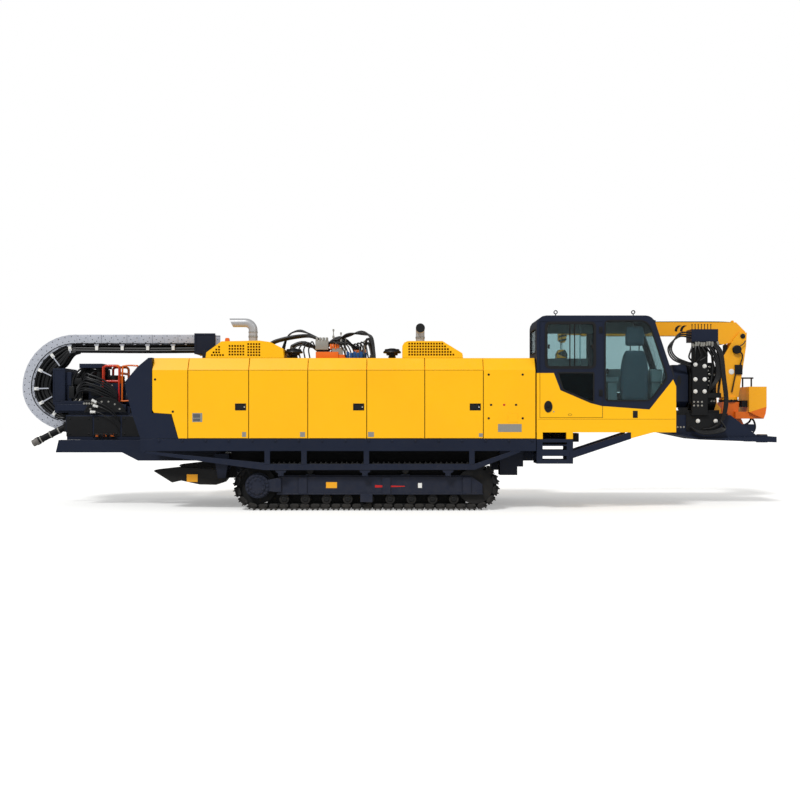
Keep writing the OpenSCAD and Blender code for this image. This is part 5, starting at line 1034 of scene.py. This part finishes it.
# Long ones down to the foot, slack loops over the nose, and loops out towards the cab and back to the column
visePipes += hoseFan(3, 0.02, [(5.87, -0.585, 3.09, 0.03), (5.98, -0.62, 2.9, 0.03), (6.04, -0.63, 2.45, 0.025),
                               (6.09, -0.62, 2.0, 0.025), (6.04, -0.59, 1.66, 0.02), (5.9, -0.55, 1.5, 0.01),
                               (5.7, -0.53, 1.46)])
visePipes += hoseFan(4, 0.017, [(6.02, -0.52, 1.62, 0, -0.025), (6.1, -0.54, 1.52, 0, -0.025, -0.02),
                                (5.9, -0.56, 1.43, 0, -0.025, -0.015), (5.62, -0.56, 1.43, 0, -0.025, -0.015),
                                (5.46, -0.52, 1.5, 0, -0.02)], 6)
visePipes += hoseFan(3, 0.015, [(5.5, -0.5, 3.2, 0, 0, 0.05), (5.25, -0.54, 3.22, 0, 0, 0.03),
                                (5.04, -0.55, 3.02, 0.03), (5.12, -0.54, 2.8, 0.03, 0, 0.02),
                                (5.4, -0.52, 2.68, 0, 0, 0.03), (5.51, -0.5, 2.66, 0, 0, 0.03)], 6)
viseBlack = boxRow(5, (5.5, -0.5655, 3.125), (5.56, -0.47, 3.1268), (0.09, 0, 0), 0.001, 1)
viseBlack.append(roundedBox((5.49, -0.553, 3.07), (5.98, -0.5455, 3.126), 0.003, 1))
handle = [(0, 0.008), (0.09, 0.008), (0.1, 0.014), (0.115, 0.0)]
viseBlack += [turned(handle, (5.53 + 0.06 * k, -0.42, 3.3645), sides=8) for k in range(7)]
fitting = [(0, 0.02), (0.03, 0.02), (0.034, 0.014), (0.05, 0.014)]
viseFits += [turned(fitting, (5.82 + 0.03 * (k % 2), -0.4305, 2.3 + 0.07 * k), outward, 8) for k in range(6)]
makePiece("viseHoseBank", "mast", hoseRubber=visePipes, zincBolt=viseFits, blackEnamel=viseBlack)
dish = outlinePlate(oval(5.29, 2.39, 0.035, 0.1, 24), -0.4035, -0.4003, 0)
rimHalf = [(0.24, 1.88), (0.4, 1.99), (0.4, 2.5), (0.26, 2.7)]
rimOutline = [(-0.24, 1.88)] + rimHalf + [(-y, z) for y, z in rimHalf[:0:-1]]
rearRim = [frameRing(rimOutline, 0.03, x, x + 0.008, "yz") for x in (5.1915, 5.4505)]
makePiece("rearViseTrim", "turning_vise", sealRubber=[dish], navyEnamel=rearRim)
setOut("rearViseBolts", ringSpots((5.1998, 0, axisZ), 0.25, 12, "yz", back), smallZinc, "turning_vise")
jaws = []
for x in (5.25, 5.72):
    for a in (math.pi / 2, math.pi * 7 / 6, math.pi * 11 / 6):
        corners = [(0.1, 0.02), (0.137, 0.03), (0.137, -0.03), (0.1, -0.02)]  # radius and half width
        outline = [(r * math.cos(a) - w * math.sin(a), axisZ + r * math.sin(a) + w * math.cos(a)) for r, w in corners]
        jaws.append(outlinePlate(outline, x, x + 0.1, 0.002, "yz"))
makePiece("viseJaws", "mast", zincBolt=jaws)
print("vises done")


# Mast: rack, foot, mud pipe, and bolted black plates that paint shade on the rear flank
tooth = outlinePlate([(-0.014, 0), (0.014, 0), (0.006, 0.022), (-0.006, 0.022)], -0.018, 0.018, 0)
rackTooth = pattern("rackTooth", zincBolt=[tooth])
toothSpots = [((-6.38 + 0.05 * k, y, 1.7305), (0, 0, 0)) for k in range(230) for y in (-0.324, 0.324)]
setOut("rackTeeth", toothSpots, rackTooth, "mast")
footSpots = [((x, s * 0.5, z), up) for s in (-1, 1) for x, z in ((6.2, 1.3035), (6.5, 1.3095), (6.8, 1.315))]
setOut("footBolts", footSpots, navyBolt, "mast")
collar = [(0, 0.062), (0, 0.1), (0.012, 0.1), (0.016, 0.062)]
makePiece("anchorCollars", "mast", zincBolt=[turned(collar, (6.9, s * 0.33, 1.3503)) for s in (-1, 1)])
opening = roundedLoop(rectangle(-4.02, 2.915, -3.64, 3.3), 0.03)
makePiece("guideTrim", "mast", navyEnamel=[frameRing(opening, 0.03, y, y + 0.004) for y in (-0.2745, 0.2705)])
slope = math.radians(27)
mudAxis = Vector((-math.cos(slope), 0, -math.sin(slope)))
mudStart = Vector((-6.48, -0.38, 1.5))
mudBand = [(0, 0.0625), (0, 0.072), (0.02, 0.072), (0.02, 0.0625)]
mudBands = [turned(mudBand, mudStart + mudAxis * d, mudAxis, 20) for d in (0.12, 0.3, 0.5)]
makePiece("mudPipeBands", "mast", zincBolt=mudBands)
repaint("mud_pipe", "mast",
        lambda c: "mudSteel" if (c - mudStart).dot(mudAxis) > 0.5 else "blackEnamel")
# Bolted black plates on the mast's rear flank are painted shade, where the navy flank lies in shadow.
shadePlates = [roundedBox((x0, -0.472, 1.322), (x1, -0.4662, 1.705), 0.003, 1)
              for x0, x1 in ((-6.43, -5.93), (-5.9, -5.4), (-5.37, -4.9))]
makePiece("mastWearPlates", "mast", blackEnamel=shadePlates)
shadePlateSpots = [((x + s, -0.4722, z), near)
             for x in (-6.18, -5.65, -5.14) for s in (-0.18, 0.18) for z in (1.37, 1.66)]
setOut("wearBolts", shadePlateSpots, blackBolt, "mast")
lowValves = boxRow(3, (-5.86, -0.52, 1.32), (-5.79, -0.4655, 1.37), (0.14, 0, 0))
lowHoses = hoseFan(4, 0.012, [(-5.9, -0.5, 1.3, 0.09), (-5.87, -0.53, 1.36, 0.09), (-5.8, -0.53, 1.36, 0.09),
                              (-5.75, -0.5, 1.3, 0.1)])
makePiece("frameValves", "chassis", orangeEnamel=lowValves, hoseRubber=lowHoses)
print("mast done")


# Carriage: motors, hoses, guards and rails
gearX, guardX, guardZ = -6.05, -5.68, 1.65
motors = [(y, z) for y in (-0.21, 0, 0.21) for z in (1.95, 2.2)]
carBolts = []
for y, z in motors:
    carBolts += ringSpots((gearX - 0.2705, y, z), 0.075, 6, "yz", back)
setOut("motorBolts", carBolts, smallZinc, "carriage")
gearSpots = [((x, -0.3302, z), near) for x in (-6.0, -5.8, -5.6, -5.46) for z in (1.88, 2.3)]
setOut("gearboxBolts", gearSpots, smallZinc, "carriage")
ribs = (0.03, 0.08, 0.13, 0.18)
carBlack = [band((gearX - d, y, z), (-1, 0, 0), 0.0882, 0.012) for d in ribs for y, z in motors]
carBlack += [band((x, y, 2.36 + 0.045 * k), upward, 0.0952, 0.012)
             for x in (-5.89, -5.6) for y in (-0.17, 0.17) for k in range(3)]
carBlack += [roundedBox((-6.3, -0.06, 1.9), (-5.75, 0.06, 2.62), 0.01, 1)]
blockCorners = [((-6.39, -0.27, 2.32), (-6.2, 0.27, 2.44)), ((-6.1, -0.44, 1.86), (-5.9, -0.35, 2.02)),
                ((-6.4, -0.42, 2.05), (-6.3, -0.3, 2.28)), ((-5.98, -0.4, 2.1), (-5.72, -0.332, 2.24))]
carBlack += [roundedBox(lo, hi, 0.008) for lo, hi in blockCorners]
makePiece("carriageBlocks", "carriage", blackEnamel=carBlack)
carHoses, carFits, carWhite = [], [], []
for k in range(9):  # hoses that climb from the motors into the top box
    x, y = -6.34 + 0.02 * (k % 3), -0.28 + 0.07 * k
    carHoses.append(tube([(x, y, 2.0 + 0.03 * (k % 4)), (x - 0.03, y - 0.02, 2.2),
                          (x + dice.uniform(-0.03, 0.03), y, 2.44), (x + 0.1, y + dice.uniform(-0.03, 0.03), 2.6),
                          (-6.14, y * 0.9, 2.655)], 0.019))
collarEnd = [(0, 0.022), (0.045, 0.022), (0.05, 0.017), (0.065, 0.017)]
for k in range(7):  # arching loops over the guard on the near side
    x, z, low = -6.36 + 0.03 * k, 2.05 + 0.05 * k, 1.92 + 0.04 * (k % 3)
    carHoses.append(tube([(x, -0.36, low), (-6.2 + 0.02 * k, -0.45, z + 0.12),
                          (-5.95, -0.5, z + 0.14 - 0.02 * (k % 2)), (-5.68, -0.47, z + 0.02),
                          (-5.48, -0.4, 1.98 + 0.03 * k)], 0.017))
    carFits.append(turned(collarEnd, (x, -0.365, low), (0.5, -0.5, 0.6), 8))
for k in range(6):  # cluster beside the top motors
    carHoses.append(tube([(-5.89, -0.17 - 0.04 * (k % 2), 2.5), (-5.95 - 0.03 * k, -0.3, 2.56 - 0.03 * k),
                          (-6.1 - 0.03 * k, -0.36, 2.42 - 0.03 * k),
                          (-6.25, -0.34 - 0.01 * k, 2.3 - 0.04 * k)], 0.016))
connector = [(0, 0.012), (0.01, 0.024), (0.06, 0.024), (0.065, 0.028), (0.1, 0.028), (0.104, 0.018)]
for x, z, lean in ((-5.83, 1.97, 0.5), (-5.8, 1.888, 0.25), (-5.85, 1.79, 0.0)):  # pale connectors over the guard
    y = -0.53
    carWhite.append(turned(connector, (x, y, z), (-1, 0, lean), 12))
    carHoses.append(tube([(x, y, z), (x + 0.1, -0.54, z - 0.03), (x + 0.3, y, z - 0.16), (x + 0.42, -0.51, z - 0.34)],
                         0.009))
shortEnd = [(0, 0.016), (0.05, 0.016), (0.052, 0.02), (0.07, 0.02)]
carFits += [turned(shortEnd, (-6.08 + 0.05 * k, -0.44, 1.95), outward, 8) for k in range(5)]
makePiece("carriageHoses", "carriage", hoseRubber=carHoses, zincBolt=carFits, plainWhite=carWhite)
guardR = 0.424
half = math.acos((1.7843 - guardZ) / guardR)
rimTurns = [math.pi / 2 + half - 2 * half * k / 20 for k in range(21)]
arcs = [[(guardX + r * math.cos(a), guardZ + r * math.sin(a)) for a in rimTurns] for r in (guardR, guardR * 0.93)]
guardRims = [outlinePlate(arcs[0] + arcs[1][::-1], y0, y1, 0) for y0, y1 in ((-0.507, -0.5002), (0.5002, 0.507))]
makePiece("guardRims", "carriage", blackEnamel=guardRims)
guardSpots = []
for a in [math.radians(35 + 22 * k) for k in range(6)]:
    guardSpots.append(((guardX + 0.34 * math.cos(a), -0.5002, guardZ + 0.34 * math.sin(a)), near))
setOut("guardBolts", guardSpots, smallZinc, "carriage")
boxTrim = [frameRing(roundedLoop(rectangle(-6.72, 2.0, -6.52, 2.6), 0.02), 0.012, -0.3335, -0.3302),
           roundedBox((-6.7365, -0.2, 2.2), (-6.7385, 0.2, 2.5), 0.0005, 1)]
makePiece("boxTrim", "carriage", navyEnamel=boxTrim)
railSide = [(-5.77, -0.345, 2.66), (-5.77, -0.352, 2.3), (-5.77, -0.352, 1.99), (-5.74, -0.352, 1.95)]
lowRail = railSide + [(-11.23 - x, y, z) for x, y, z in railSide[::-1]]
frontRails = [[(-5.41, 2.0), (-5.4, 2.6), (-5.36, 2.675), (-5.16, 2.68), (-5.1, 2.62), (-5.1, 2.1)],
              [(-5.1, 2.1), (-5.14, 2.03), (-5.34, 2.0), (-5.44, 2.0)]]
frontRail = [tube([(x, -0.32, z) for x, z in path], 0.016, 10) for path in frontRails]
makePiece("lowGuardRails", "carriage", redEnamel=[tube(lowRail, 0.016, 10)], orangeEnamel=frontRail)
repaint("guard_rail", "carriage", lambda c: "orangeEnamel" if c.x > -5.53 and c.z > 2.4 else "redEnamel")
thread = [(0, 0.0885), (0.004, 0.092), (0.008, 0.0885)]
threads = [turned(thread, (-5.06 + 0.022 * k, 0, axisZ), (1, 0, 0)) for k in range(4)]
makePiece("spindleThreads", "drill_spindle", zincBolt=threads)
print("carriage done")

for piece in patterns:
    bpy.data.objects.remove(piece)


# Camera, light and floor
studio = {"camera": (-0.06, -18.5, 1.70), "lens": 42.5, "shift": 0.0208, "world": 0.5, "reflection": 0.16,
          "key": 1.75, "fill": 0.35}
scene = bpy.context.scene
cameraData = bpy.data.cameras.new("camera")
cameraData.lens = studio["lens"]
cameraData.sensor_width = 36
cameraData.shift_y = studio["shift"]
cameraData.clip_end = 200
camera = addObject("camera", cameraData)
camera.location = studio["camera"]
camera.rotation_euler = (math.pi / 2, 0, 0)
scene.camera = camera


def sun(name, strength, direction, angle):
    lamp = bpy.data.lights.new(name, "SUN")
    lamp.energy = strength
    lamp.angle = math.radians(angle)
    addObject(name, lamp).rotation_euler = Vector(direction).to_track_quat("-Z", "Y").to_euler()


sun("keySun", studio["key"], (0.35, 0.75, -0.9), 12)
sun("fillSun", studio["fill"], (-0.6, 0.5, -0.35), 30)


def background(colour, strength):
    return addNode(tree, "ShaderNodeBackground", {"Color": colour, "Strength": strength}).outputs[0]


world = bpy.data.worlds.new("studioWorld")
world.use_nodes = True
scene.world = world
tree = world.node_tree
tree.nodes.clear()
rays = addNode(tree, "ShaderNodeLightPath").outputs
direct = {0: rays["Is Camera Ray"], 1: rays["Is Transmission Ray"]}
seen = addNode(tree, "ShaderNodeMath", {"operation": "MAXIMUM"}, direct)
soft = background((1, 1, 1, 1), studio["world"])
dim = background((0.92, 0.95, 1, 1), studio["reflection"])
plain = background((1, 1, 1, 1), 1.0)
mirrored = addNode(tree, "ShaderNodeMixShader", None, {0: rays["Is Glossy Ray"], 1: soft, 2: dim})
both = addNode(tree, "ShaderNodeMixShader", None, {0: seen.outputs[0], 1: mirrored.outputs[0], 2: plain})
addNode(tree, "ShaderNodeOutputWorld", None, {"Surface": both.outputs[0]})

floorFinish = newMaterial("paleStudioFloor")  # matt painted floor that keeps the shadow
tree = floorFinish.node_tree
rays = addNode(tree, "ShaderNodeLightPath").outputs
tone = mixLook(tree, {"colour": "#F2F2F0", "shade": "#7C7D80"}, rays["Is Glossy Ray"])
matt = addNode(tree, "ShaderNodeBsdfDiffuse", None, {"Color": tone})
glow = addNode(tree, "ShaderNodeEmission", {"Color": (1, 1, 1, 1), "Strength": 0.3})
extra = addNode(tree, "ShaderNodeMixShader", None, {0: rays["Is Camera Ray"], 2: glow.outputs[0]})
finishMaterial(tree, addNode(tree, "ShaderNodeAddShader", None, {0: matt.outputs[0], 1: extra.outputs[0]}))
floorMesh = bpy.data.meshes.new("studioFloor")
floorMesh.from_pydata([(-90, -60, 0), (90, -60, 0), (90, 90, 0), (-90, 90, 0)], [], [[0, 1, 2, 3]])
floorMesh.materials.append(floorFinish)
floor = addObject("studioFloor", floorMesh)
scene.view_settings.view_transform = "Standard"
